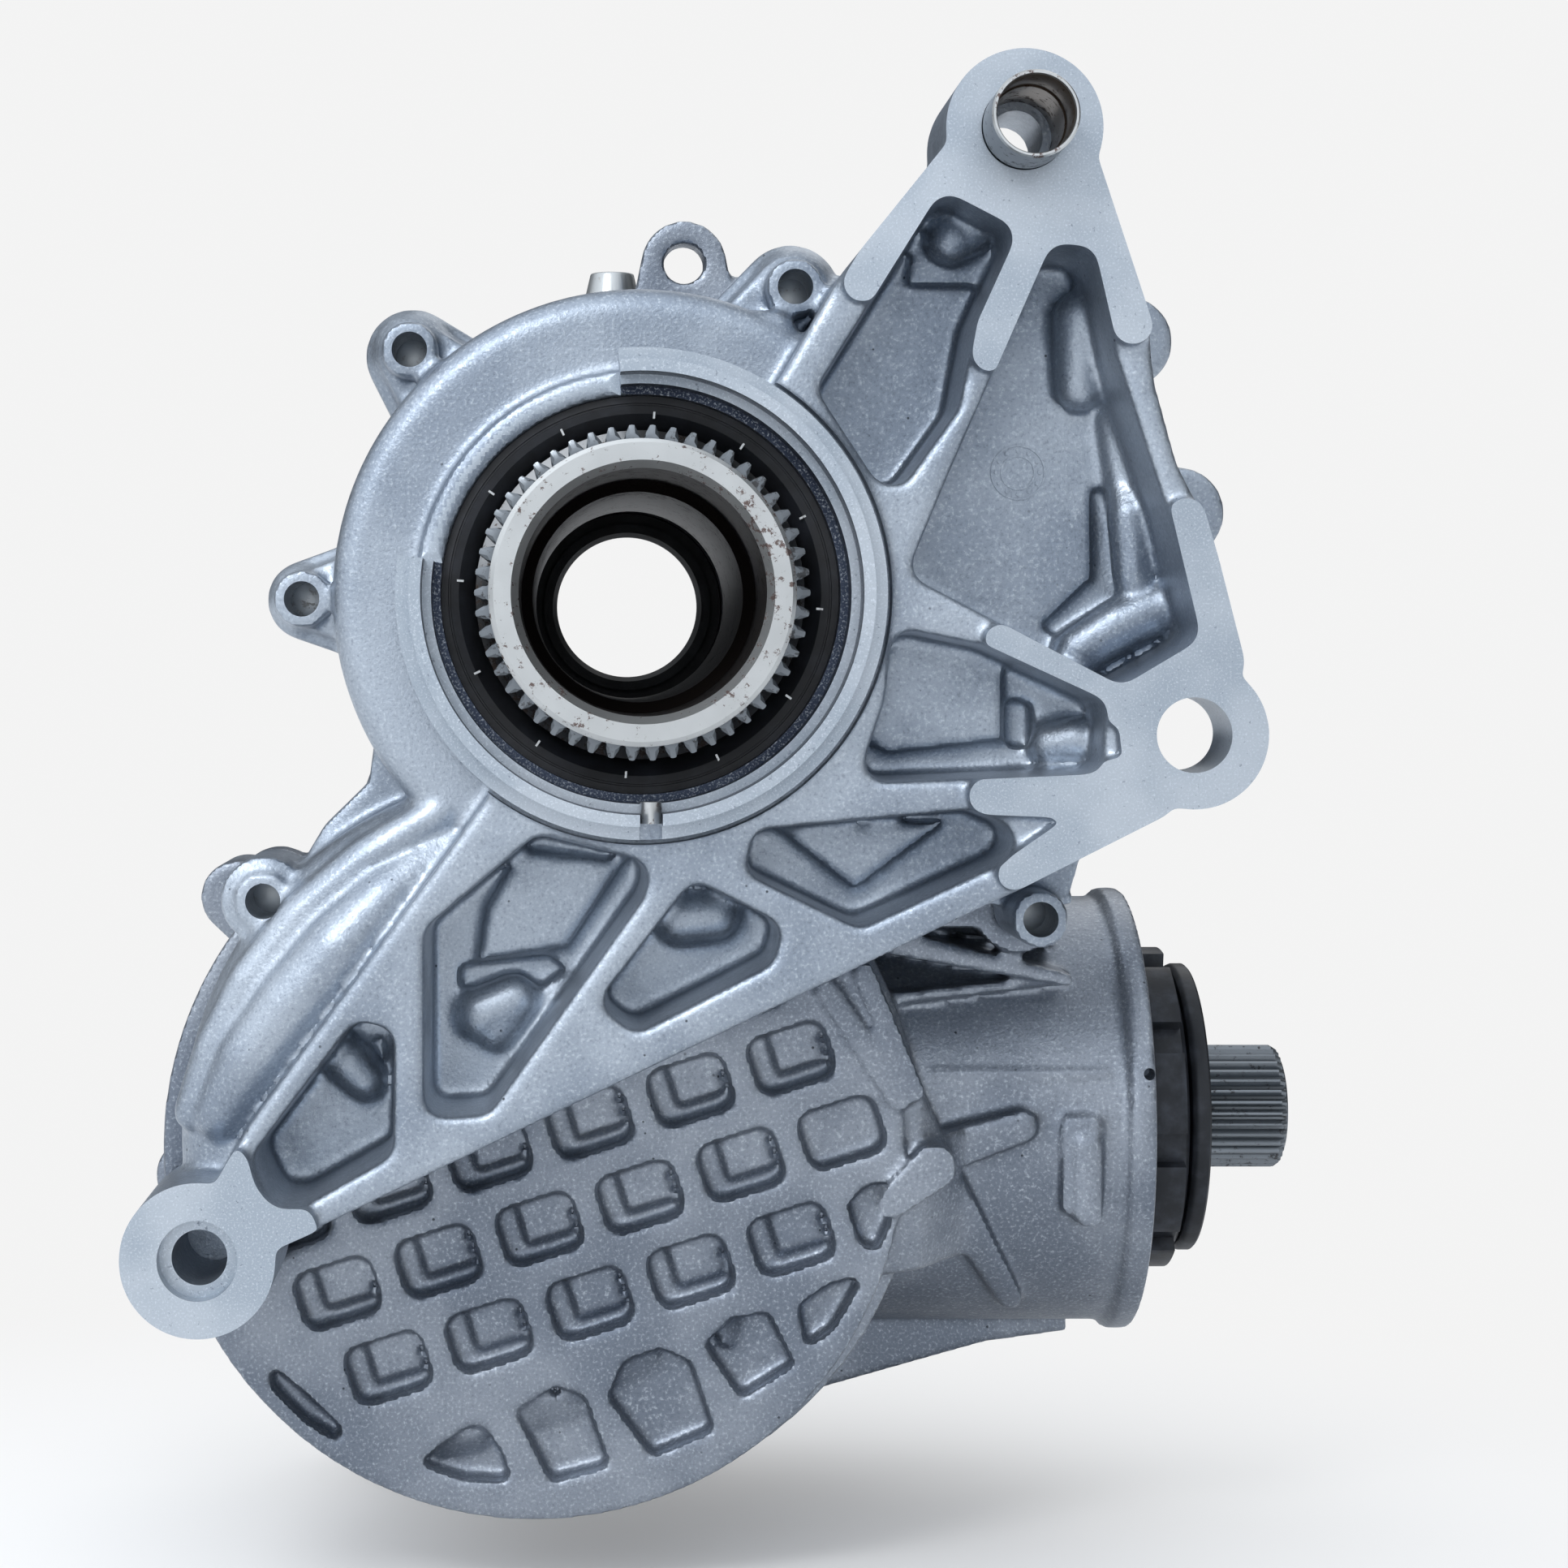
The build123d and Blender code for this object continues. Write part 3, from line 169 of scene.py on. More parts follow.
def coords(stretch=None):
    """The object's own coordinates, which a pattern keeps when its piece moves."""
    where = Val.node("ShaderNodeTexCoord").outputs["Object"]
    if stretch:
        where = Val.node("ShaderNodeMapping", Vector=where, Scale=stretch).outputs[0]
    return where


def grain(scale, detail=3.0, rough=0.55, stretch=None):
    """Noise on the object's own coordinates; scale is in cycles per metre."""
    made = Val.node("ShaderNodeTexNoise", Vector=coords(stretch), Scale=scale, Detail=detail, Roughness=rough)
    return Val(made.outputs[0])


def pits(scale):
    """Distance to the nearest of many scattered points."""
    return Val(Val.node("ShaderNodeTexVoronoi", Vector=coords(), Scale=scale).outputs[0])


def bump(height, strength, distance):
    """Normal of a surface whose fine relief follows height."""
    return Val.node("ShaderNodeBump", Strength=strength, Distance=distance, Height=height).outputs[0]


def material(name, metallic, build):
    """New material; build returns the links of its shader's sockets."""
    made = bpy.data.materials.new(name)
    made.use_nodes = True
    Val.tree = made.node_tree
    shader = Val.tree.nodes["Principled BSDF"]
    shader.inputs["Metallic"].default_value = metallic
    for socket, value in build().items():
        link(shader.inputs[socket], value)
    return made


# Finishes

def cast_finish(light, dark, shine):
    """Blasted aluminium casting: fine grain, cloudy tone, handling marks and a few dark pores."""
    def build():
        cloud = grain(24.0, 4.0).ramp(0.36, 0.64)
        tooth = grain(1500.0, 3.0, 0.6)
        skin = grain(420.0, 3.0)
        worn = grain(90.0, 5.0, 0.65, (1.0, 1.0, 2.2)).ramp(0.56, 0.7)
        pores = pits(260.0).ramp(0.05, 0.09, 1.0, 0.0) * grain(70.0, 2.0).ramp(0.52, 0.6)
        tone = mix(cloud, dark, light)
        tone = mix(tooth.ramp(0.5, 0.78) * 0.45, tone, rgb(205, 214, 222))
        tone = mix(tooth.ramp(0.28, 0.45, 0.3, 0.0), tone, rgb(60, 68, 80))
        tone = mix(pores * 0.8, tone, rgb(26, 28, 32))
        return {
            "Base Color": tone,
            "Roughness": shine + skin * 0.16 - worn * 0.08,
            "Normal": bump(tooth * 0.7 + skin * 0.6, 0.55, 0.00022),
        }
    return build


def milled_finish(light, dark):
    """Milled aluminium with a matte sparkle and small dark specks."""
    def build():
        sparkle = grain(2400.0, 2.0, 0.7)
        specks = grain(900.0, 3.0, 0.7).ramp(0.62, 0.72)
        tone = mix(grain(38.0, 3.0).ramp(0.35, 0.65), dark, light)
        tone = mix(sparkle.ramp(0.5, 0.75) * 0.5, tone, rgb(214, 222, 230))
        tone = mix(specks * 0.55, tone, rgb(84, 92, 104))
        return {
            "Base Color": tone,
            "Roughness": 0.4 + specks * 0.2,
            "Normal": bump(sparkle * 0.6 - specks * 0.4, 0.25, 0.0001),
        }
    return build


def steel_finish(base, spot, amount, rough):
    """Ground steel with specks of rust and dried oil."""
    def build():
        rust = (grain(520.0, 5.0, 0.75) + grain(40.0, 2.0) * 0.35).ramp(0.74, 0.8) * amount
        tone = mix(grain(90.0, 3.0), base, tuple(0.72 * c for c in base[:3]) + (1.0,))
        tone = mix(rust, tone, spot)
        return {
            "Base Color": tone,
            "Roughness": rough + rust * 0.35,
            "Normal": bump(grain(1500.0, 2.0) + rust * 0.4, 0.15, 0.0001),
        }
    return build


def dark_finish(base, edge, rough):
    """Black phosphate or moulded rubber."""
    def build():
        tone = mix(grain(180.0, 4.0).ramp(0.4, 0.75), base, edge)
        return {
            "Base Color": tone,
            "Roughness": rough + grain(240.0) * 0.2,
            "Normal": bump(grain(1400.0, 2.0), 0.2, 0.00012),
        }
    return build


MATS = {
    "cast": material("cast_aluminium", 0.85, cast_finish(rgb(158, 167, 178), rgb(128, 138, 151), 0.33)),
    # drum: the cast aluminium made darker for the drum half and rear cover, painted shade of their deep-set
    # faces behind the bracket
    "drum": material("drum_aluminium_painted_shade", 0.85, cast_finish(rgb(136, 143, 153), rgb(106, 114, 126), 0.33)),
    "milled": material("milled_aluminium", 0.8, milled_finish(rgb(172, 180, 189), rgb(152, 162, 173))),
    # bored: dark navy for the collar's bore walls and counterbore floors, painted shade inside the bore
    "bored": material("bored_aluminium_painted_shade", 0.85, milled_finish(rgb(58, 66, 82), rgb(40, 47, 62))),
    "bright": material("bright_steel", 0.9, steel_finish(rgb(196, 199, 200), rgb(70, 42, 34), 0.85, 0.28)),
    "gear": material("gear_steel", 0.9, steel_finish(rgb(150, 152, 154), rgb(70, 52, 40), 0.8, 0.33)),
    # Near black brown for the inside of the input shaft's bore: painted shade in the bore, with darker specks
    "bore_shade": material("painted_bore_shade", 0.6, steel_finish(rgb(30, 24, 22), rgb(18, 12, 10), 0.6, 0.5)),
    "stub": material("splined_stub", 0.9, steel_finish(rgb(118, 124, 130), rgb(44, 40, 38), 0.7, 0.34)),
    "tinted": material("oil_tinted_steel", 0.85, steel_finish(rgb(128, 116, 104), rgb(74, 56, 42), 0.8, 0.3)),
    "bearing": material("bearing_steel", 1, steel_finish(rgb(200, 202, 205), rgb(150, 130, 110), 0.1, 0.16)),
    "black": material("black_phosphate", 0.5, dark_finish(rgb(30, 33, 38), rgb(52, 56, 64), 0.38)),
    "rubber": material("moulded_rubber", 0.0, dark_finish(rgb(20, 22, 27), rgb(34, 37, 44), 0.45)),
    "zinc": material("zinc_plate", 0.85, steel_finish(rgb(176, 180, 182), rgb(112, 100, 80), 0.4, 0.32)),
    "copper": material("soft_copper", 0.95, steel_finish(rgb(184, 112, 74), rgb(90, 50, 36), 0.3, 0.3)),
}
SLOT_MATS = {
    "cast_aluminium": "cast", "zinc_steel": "zinc", "black_steel": "black", "bright_steel": "bright",
    "gear_steel": "gear", "bearing_steel": "bearing", "seal_rubber": "rubber", "copper": "copper",
}
NODE_SLOT = {s["node"]: s["material_slot"] for s in frame["record"]["subparts"]}
NODE_BODY = {n: b for b, members in frame["record"]["behaviour"]["bodies"].items() for n in members}


# Mesh helpers

def new_object(name, mesh, mats=()):
    """Object in the scene, at the origin."""
    made = bpy.data.objects.new(name, mesh)
    bpy.context.scene.collection.objects.link(made)
    for mat in mats:
        mesh.materials.append(mat)
    return made


def from_bmesh(name, bm):
    """Object of a bmesh, which is freed."""
    mesh = bpy.data.meshes.new(name)
    bm.to_mesh(mesh)
    bm.free()
    return new_object(name, mesh)


def from_points(name, verts, faces, mats=()):
    """Object of listed points and faces."""
    mesh = bpy.data.meshes.new(name)
    mesh.from_pydata([tuple(v) for v in verts], [], [tuple(f) for f in faces])
    mesh.update()
    return new_object(name, mesh, mats)


def smooth_by_angle(mesh, degrees):
    """Smooth shading, with edges kept crisp where they turn by more than an angle."""
    mesh.polygons.foreach_set("use_smooth", [True] * len(mesh.polygons))
    mesh.set_sharp_from_angle(angle=math.radians(degrees))


def tidy_mesh(mesh, merge=1e-7):
    """Close seams and poles, and turn the faces outwards."""
    bm = bmesh.new()
    bm.from_mesh(mesh)
    bmesh.ops.remove_doubles(bm, verts=bm.verts, dist=merge)
    bmesh.ops.dissolve_degenerate(bm, edges=bm.edges, dist=merge)
    bmesh.ops.recalc_face_normals(bm, faces=bm.faces)
    bm.to_mesh(mesh)
    bm.free()
    mesh.update()


def band(r_in, r_out, start, end):
    """Profile of a plain ring."""
    return [(r_in, start), (r_out, start), (r_out, end), (r_in, end)]


def turned(name, profile, centre=(0.0, 0.0), axis="Y", mats=(), steps=160):
    """Closed (radius, along) profile turned about an axis along Y at (x, z), or along X at (y, z)."""
    verts, faces = [], []
    n = len(profile)
    for i in range(steps):
        a = 2 * math.pi * i / steps
        for r, s in profile:
            u, v = centre[0] + r * math.cos(a), centre[1] + r * math.sin(a)
            verts.append((u, s, v) if axis == "Y" else (s, u, v))
    for i in range(steps):
        for k in range(n):
            a, b = i * n + k, i * n + (k + 1) % n
            c, d = ((i + 1) % steps) * n + (k + 1) % n, ((i + 1) % steps) * n + k
            faces.append((a, b, c, d))
    made = from_points(name, verts, faces, mats)
    tidy_mesh(made.data)
    return made


def cylinder(name, start, end, r, r_end=None, steps=96):
    """Solid cylinder between two places, or a cone where its end has another radius."""
    start, end = Vector(start), Vector(end)
    axis = end - start
    far_r = r if r_end is None else r_end
    bm = bmesh.new()
    bmesh.ops.create_cone(bm, cap_ends=True, segments=steps, radius1=r, radius2=far_r, depth=axis.length)
    turn = axis.to_track_quat("Z", "Y").to_matrix().to_4x4()
    bm.transform(Matrix.Translation((start + end) / 2) @ turn)
    return from_bmesh(name, bm)


def rod(name, spot, r, front, back, steps=96):
    """Solid cylinder along Y at (x, z)."""
    return cylinder(name, (spot[0], front, spot[1]), (spot[0], back, spot[1]), r, steps=steps)


def box(name, middle, size):
    """Solid block about its middle."""
    bm = bmesh.new()
    bmesh.ops.create_cube(bm, size=1.0)
    bm.transform(Matrix.Translation(middle) @ Matrix.Diagonal((*size, 1.0)))
    return from_bmesh(name, bm)


def prism(name, outline, front, back):
    """Outline in (x, z) given depth along Y."""
    n = len(outline)
    verts = [(x, front, z) for x, z in outline] + [(x, back, z) for x, z in outline]
    faces = [tuple(range(n)), tuple(range(2 * n - 1, n - 1, -1))]
    faces += [(k, (k + 1) % n, n + (k + 1) % n, n + k) for k in range(n)]
    made = from_points(name, verts, faces)
    tidy_mesh(made.data)
    return made


def seen_prism(points, front, back):
    """Prism whose outline is given by places in the photograph's frame at its front level, in millimetres."""
    outline = [(p.x, p.z) for p in (seen(px, py, front) for px, py in points)]
    return prism("stock", outline, front * 0.001, back * 0.001)


def sector(name, r_in, r_out, start, end, front, back, steps=24):
    """Part of a ring about the input axis, between two angles in degrees."""
    verts, faces = [], []
    for i in range(steps + 1):
        a = math.radians(start + (end - start) * i / steps)
        c, s = math.cos(a), math.sin(a)
        for r, y in ((r_in, front), (r_out, front), (r_out, back), (r_in, back)):
            verts.append((r * c, y, r * s))
    for i in range(steps):
        for k in range(4):
            faces.append((4 * i + k, 4 * i + (k + 1) % 4, 4 * i + 4 + (k + 1) % 4, 4 * i + 4 + k))
    faces += [(0, 1, 2, 3), (4 * steps, 4 * steps + 3, 4 * steps + 2, 4 * steps + 1)]
    made = from_points(name, verts, faces)
    tidy_mesh(made.data)
    return made


def blob(place, size, stretch=(1, 1, 1)):
    """Rounded lump of casting; size is in millimetres."""
    bm = bmesh.new()
    bmesh.ops.create_icosphere(bm, subdivisions=3, radius=size * 0.001)
    bm.transform(Matrix.Translation(place) @ Matrix.Diagonal((*stretch, 1.0)))
    return from_bmesh("lump", bm)


def ridge(path, size):
    """Rounded ridge along (px, py, y) places; size is one radius in millimetres, or one for each place."""
    spots = [seen(*p) for p in path]
    sizes = size if isinstance(size, (list, tuple)) else [size] * len(spots)
    made = [blob(p, r) for p, r in zip(spots, sizes)]
    for (a, b), (r_a, r_b) in zip(zip(spots, spots[1:]), zip(sizes, sizes[1:])):
        made.append(cylinder("ridge", a, b, r_a * 0.001, r_b * 0.001, 20))
    return made


def merged_copy(node, name):
    """Copy of a CAD node's mesh with its triangles joined up."""
    mesh = nodes[node].data.copy()
    mesh.name = name
    mesh.materials.clear()
    made = new_object(name, mesh)
    bm = bmesh.new()
    bm.from_mesh(mesh)
    bmesh.ops.remove_doubles(bm, verts=bm.verts, dist=2e-6)
    bm.to_mesh(mesh)
    bm.free()
    return made


def join(target, others):
    """Add the meshes of others to target, and drop them."""
    bm = bmesh.new()
    bm.from_mesh(target.data)
    for other in others:
        bm.from_mesh(other.data)
        bpy.data.objects.remove(other)
    bm.to_mesh(target.data)
    bm.free()


def bake_modifiers(made):
    """Replace an object's mesh with what its modifiers make of it."""
    bpy.context.view_layer.update()
    graph = bpy.context.evaluated_depsgraph_get()
    mesh = bpy.data.meshes.new_from_object(made.evaluated_get(graph))
    made.modifiers.clear()
    made.data = mesh
    return made


def cut(made, cutters):
    """Machine an object: take each cutter away."""
    for tool in cutters:
        mod = made.modifiers.new("cut", "BOOLEAN")
        mod.operation = "DIFFERENCE"
        mod.solver = "MANIFOLD"
        mod.object = tool
    bake_modifiers(made)
    for tool in cutters:
        bpy.data.objects.remove(tool)


def cast_skin(made, voxel, rounds):
    """Round an object's solid as a casting's skin, with fillets in every corner."""
    mod = made.modifiers.new("skin", "REMESH")
    mod.mode = "VOXEL"
    mod.voxel_size = voxel
    mod = made.modifiers.new("soften", "SMOOTH")
    mod.factor = 0.5
    mod.iterations = rounds
    bake_modifiers(made)


def thin_out(made, triangles):
    """Fewer triangles where the skin is flat or gently curved."""
    count = sum(len(p.vertices) - 2 for p in made.data.polygons)
    if count > triangles:
        mod = made.modifiers.new("thin", "DECIMATE")
        mod.ratio = triangles / count
        bake_modifiers(made)


def settle(made, body, slot, *replaced):
    """Give a finished piece its body, and hide the nodes it stands for; slot is not used."""
    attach(made, body)
    if replaced:
        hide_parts(*replaced)
    return made


def finishes(made, *keys):
    """Material slots of a finished mesh; faces start on the first."""
    made.data.materials.clear()
    for key in keys:
        made.data.materials.append(MATS[key])
    made.data.polygons.foreach_set("material_index", [0] * len(made.data.polygons))


def paint(made, index, planes=(), bores=(), ends=(), within=1.0):
    """Give a slot to faces on planes (y, side), bores (x, z, r, front, back) and X planes (x, side)."""
    flat, on_plane, on_bore = 0.97, 4e-5, 1.2e-4
    mesh = made.data
    count = len(mesh.polygons)
    centre = np.empty(count * 3)
    normal = np.empty(count * 3)
    chosen = np.empty(count, np.int32)
    mesh.polygons.foreach_get("center", centre)
    mesh.polygons.foreach_get("normal", normal)
    mesh.polygons.foreach_get("material_index", chosen)
    centre, normal = centre.reshape(-1, 3), normal.reshape(-1, 3)
    picked = np.zeros(count, bool)
    near = np.hypot(centre[:, 0], centre[:, 2]) < within
    for y, side in planes:
        picked |= (np.abs(centre[:, 1] - y) < on_plane) & (normal[:, 1] * side > flat) & near
    for x, side in ends:
        picked |= (np.abs(centre[:, 0] - x) < on_plane) & (normal[:, 0] * side > flat)
    for x, z, r, front, back in bores:
        dx, dz = centre[:, 0] - x, centre[:, 2] - z
        away = np.hypot(dx, dz)
        radial = np.abs(normal[:, 0] * dx + normal[:, 2] * dz) / np.maximum(away, 1e-9)
        inside = (centre[:, 1] > front) & (centre[:, 1] < back)
        picked |= (np.abs(away - r) < on_bore) & (radial > 0.9) & inside
    chosen[picked] = index
    mesh.polygons.foreach_set("material_index", chosen)


# Stage, camera and light

PAPER = (0.9, 0.9, 0.9, 1.0)


def floor_material():
    """Pale floor that keeps the object's shadow and runs out into the background's white."""
    made = bpy.data.materials.new("floor")
    made.use_nodes = True
    tree = made.node_tree
    Val.tree = tree
    shader = tree.nodes["Principled BSDF"]
    shader.inputs["Base Color"].default_value = (0.84, 0.84, 0.84, 1)
    shader.inputs["Roughness"].default_value = 0.9
    glow = Val.node("ShaderNodeEmission", Color=PAPER)
    away = Val.node("ShaderNodeVectorMath", {"operation": "LENGTH"}, i0=coords())
    camera_ray = Val(Val.node("ShaderNodeLightPath").outputs["Is Camera Ray"])
    factor = Val(away.outputs["Value"]).ramp(0.12, 0.42) * camera_ray
    both = Val.node("ShaderNodeMixShader", i0=factor, i1=shader.outputs[0], i2=glow.outputs[0])
    link(tree.nodes["Material Output"].inputs["Surface"], both.outputs[0])
    return made


def studio_world():
    """White to the camera; to everything else a broad soft light from above left, dimmer below and right."""
    world = bpy.data.worlds.new("world")
    bpy.context.scene.world = world
    world.use_nodes = True
    Val.tree = world.node_tree
    back = Val.tree.nodes["Background"]
    heading = Val.node("ShaderNodeTexCoord").outputs["Generated"]
    toward = Vector((-0.42, -0.52, 0.74)).normalized()
    facing = Val.node("ShaderNodeVectorMath", {"operation": "DOT_PRODUCT"}, i0=heading, i1=tuple(toward))
    ramp = Val.node("ShaderNodeValToRGB", Fac=Val(facing.outputs["Value"]).ramp(-1.0, 1.0))
    stops = [(0.0, 0.06), (0.40, 0.10), (0.62, 0.22), (0.78, 0.52), (0.88, 1.2), (1.0, 1.9)]
    for i, (at, level) in enumerate(stops):
        stop = ramp.color_ramp.elements[i] if i < 2 else ramp.color_ramp.elements.new(at)
        stop.position = at
        stop.color = (level * 0.95, level * 0.99, level * 1.04, 1.0)
    path = Val.node("ShaderNodeLightPath")
    link(back.inputs["Color"], mix(Val(path.outputs["Is Camera Ray"]), Val(ramp.outputs[0]), PAPER))


def set_camera():
    """Camera square to the ear faces, where the photograph's stood."""
    camera = bpy.data.cameras.new("camera")
    camera.sensor_width = 36.0
    camera.lens = 74.5
    camera.shift_x = 0.139
    camera.shift_y = -0.076
    camera.clip_start = 0.01
    view = new_object("camera", camera)
    view.location = (-0.01395, -0.600, -0.0132)
    view.rotation_euler = (math.pi / 2, 0, 0)
    bpy.context.scene.camera = view


def lamp(name, place, size, power):
    """Square area lamp, in watts, that faces the middle of the case."""
    middle = Vector((0.02, 0.05, -0.03))
    light = bpy.data.lights.new(name, "AREA")
    light.size = size
    light.energy = power
    made = new_object(name, light)
    made.location = place
    made.rotation_euler = (middle - Vector(place)).to_track_quat("-Z", "Y").to_euler()


def stage():
    """Camera, a floor just below the case, three lamps and the world."""
    set_camera()
    floor_z = cad_box[0][2] - 0.0004
    half = 5.0
    corners = [(-half, -half, floor_z), (half, -half, floor_z), (half, half, floor_z), (-half, half, floor_z)]
    from_points("floor", corners, [(0, 1, 2, 3)], [floor_material()])
    lamp("key", (-0.52, -0.88, 0.78), 0.34, 6.0)
    lamp("fill", (0.9, -0.7, 0.25), 0.8, 0.6)
    lamp("back", (0.35, 1.0, 0.8), 0.8, 2.5)
    studio_world()
    bpy.context.scene.view_settings.view_transform = "Standard"


stage()


# Castings. Places are (px, py) in the photograph's frame; levels and radii are in mm.

DATE_POCKET_DEEP = [
    (1345, 604), (1348, 712), (1283, 772), (1330, 806), (1372, 822), (1440, 772), (1424, 640), (1396, 596),
]
DATE_POCKET_COLUMN = [(1331, 392, 24), (1330, 478, 25)]
DATE_POCKET_RIB = [(1370, 520, 27), (1384, 600, 27), (1392, 636, 25), (1398, 716, 25)]
DATE_POCKET_SILL = [(1330, 802, 26), (1382, 770, 25), (1446, 742, 24)]
DATE_CLOCK = (1255, 583, 27)
TOP_POCKET_STEP = [(1130, 250), (1235, 262), (1222, 352), (1120, 350)]
TOP_POCKET_BOSS = [(1172, 296, 20), (1196, 290, 20)]
RIGHT_POCKET_DEEP = [(1240, 860), (1274, 866), (1274, 926), (1240, 920)]
RIGHT_POCKET_STEP = [(1105, 786), (1236, 792), (1236, 912), (1095, 928), (1072, 915)]
RIGHT_POCKET_BOSS = [(1296, 918, 21), (1328, 912, 19)]
FLAT_POCKET_STEP = [(962, 1023), (1166, 1013), (1054, 1096)]
MIDDLE_POCKET_BOSS = [(838, 1132, 24), (882, 1128, 24)]
LONG_POCKET_DIP = [(565, 1190), (676, 1178), (700, 1196), (672, 1218), (566, 1222)]
LONG_POCKET_STEP = [(640, 1050), (770, 1062), (700, 1168), (590, 1184), (600, 1120)]
LONG_POCKET_LOBE = [(594, 1250, 27), (634, 1232, 27), (612, 1268, 27)]
CORNER_POCKET_DEEP = [(430, 1290), (474, 1276), (480, 1330), (440, 1350)]
CORNER_POCKET_LOBE = [(430, 1306, 27), (452, 1330, 27)]
DOME_RIM = [
    (600, 990, 19), (540, 1004, 17), (452, 1060, 17), (372, 1130, 17), (310, 1210, 17), (268, 1290, 18),
    (240, 1370, 19),
]
DOME_BULGE = [
    (560, 1040, 18), (478, 1108, 15), (420, 1170, 13.5), (360, 1240, 14), (312, 1304, 15), (276, 1370, 17),
]
LUG_ROOTS = [((510, 438), 8.6), ((376, 738), 7.2), ((976, 361), 8.8)]
LUG_ROOT_LEVEL = 36


def pocket_floor_cuts():
    """Deeper parts of the bracket's pockets, cut before the skin rounds them."""
    return [
        seen_prism(DATE_POCKET_DEEP, 26, 30),
        seen_prism(RIGHT_POCKET_DEEP, 21, 26),
        seen_prism(LONG_POCKET_DIP, 24, 30),
        seen_prism(CORNER_POCKET_DEEP, 26, 29),
    ]


def pocket_lumps():
    """Cores, boss backs and steps that stand in the bracket's pockets."""
    lumps = ridge(TOP_POCKET_BOSS, [5.2, 4.4])
    lumps += [seen_prism(TOP_POCKET_STEP, 21.5, 28)]
    lumps += ridge(DATE_POCKET_COLUMN, [5.4, 4.8])
    lumps += ridge(DATE_POCKET_RIB, [3, 3.4, 4.4, 4.2])
    lumps += ridge(DATE_POCKET_SILL, [5.2, 5.6, 5])
    lumps += [seen_prism(RIGHT_POCKET_STEP, 19, 24)]
    lumps += ridge(RIGHT_POCKET_BOSS, [4.4, 4.6])
    lumps += [seen_prism(FLAT_POCKET_STEP, 19.5, 26)]
    lumps += ridge(MIDDLE_POCKET_BOSS, [5.2, 5.2])
    lumps += [seen_prism(LONG_POCKET_STEP, 22.5, 28)]
    lumps += ridge(LONG_POCKET_LOBE, [5.4, 5.0, 4.4])
    lumps += ridge(CORNER_POCKET_LOBE, [5.0, 4.2])
    return lumps


def dome_ridges():
    """Rounded rim and bulging inner ridge of the crescent wall beside the left rail."""
    rim = ridge(DOME_RIM, [3.4, 4, 4.4, 4.6, 4.6, 4.4, 4])
    return rim + ridge(DOME_BULGE, [4.5, 6.5, 7.5, 7.5, 7, 6])


def front_stock():
    """Casting material that the machine tools take down again, and forms too soft for the CAD."""
    stock = [sector("stock", SEAL_R, FLANGE_R + 0.0006, *COLLAR_ARC, -0.009, 0.0072, 96)]
    stock += [rod("stock", spot, 0.0055, 0.020, 0.049, 32) for spot in TAPPED]
    stock += [
        rod("stock", TOP_EAR, 0.0095, ROUGH_FACE, 0.029, 32),
        rod("stock", RIGHT_EAR, 0.009, ROUGH_FACE, 0.018, 32),
        rod("stock", LOWER_EAR, 0.009, ROUGH_FACE, 0.0255, 32),
    ]
    for (px, py), r in LUG_ROOTS:
        stock += [blob(seen(px, py, LUG_ROOT_LEVEL), r, (1, 1.25, 1))]
    return stock + pocket_lumps() + dome_ridges()


def front_tools():
    """Facing, turning and drilling of the rounded casting."""
    tools = [
        turned("face", band(FLANGE_R + 0.0008, 0.2, CLEAR_FRONT, 0.0)),
        turned("flange", band(FLANGE_R, FLANGE_R + 0.001, CLEAR_FRONT, 0.0068)),
        turned("pilot", band(PILOT_R, FLANGE_R + 0.0002, CLEAR_FRONT, 0.0)),
        turned("front", band(0.0, FLANGE_R + 0.0004, CLEAR_FRONT, COLLAR_FRONT)),
        turned("bore", [
            (0.0, -0.012), (MOUTH_R, -0.012), (MOUTH_R, MOUTH_BACK), (SEAT_R, MOUTH_BACK),
            (SEAT_R, SEAT_BACK), (SEAL_R, SEAT_BACK), (SEAL_R, SEAL_BACK), (CUP_R, SEAL_BACK),
            (CUP_R, CUP_FACE), (0.0, CUP_FACE),
        ]),
        sector("notch", 0.030, 0.0475, *NOTCH, -0.012, NOTCH_FLOOR),
        box("key", (0.0017, -0.0055, -0.0420), (0.0042, 0.0130, 0.0074)),
        rod("dowel", TOP_EAR, DOWEL_SEAT_R, -0.01, 0.013),
        rod("bolt", TOP_EAR, EAR_BOLT_R, -0.01, 0.04, 48),
        rod("bolt", RIGHT_EAR, RIGHT_HOLE_R, -0.01, 0.03),
        rod("bolt", LOWER_EAR, LOWER_SINK_R, -0.01, 0.004),
        rod("bolt", LOWER_EAR, EAR_BOLT_R, -0.01, 0.03, 48),
    ]
    return tools + [rod("tap", spot, TAP_R, 0.015, 0.052, 40) for spot in TAPPED]


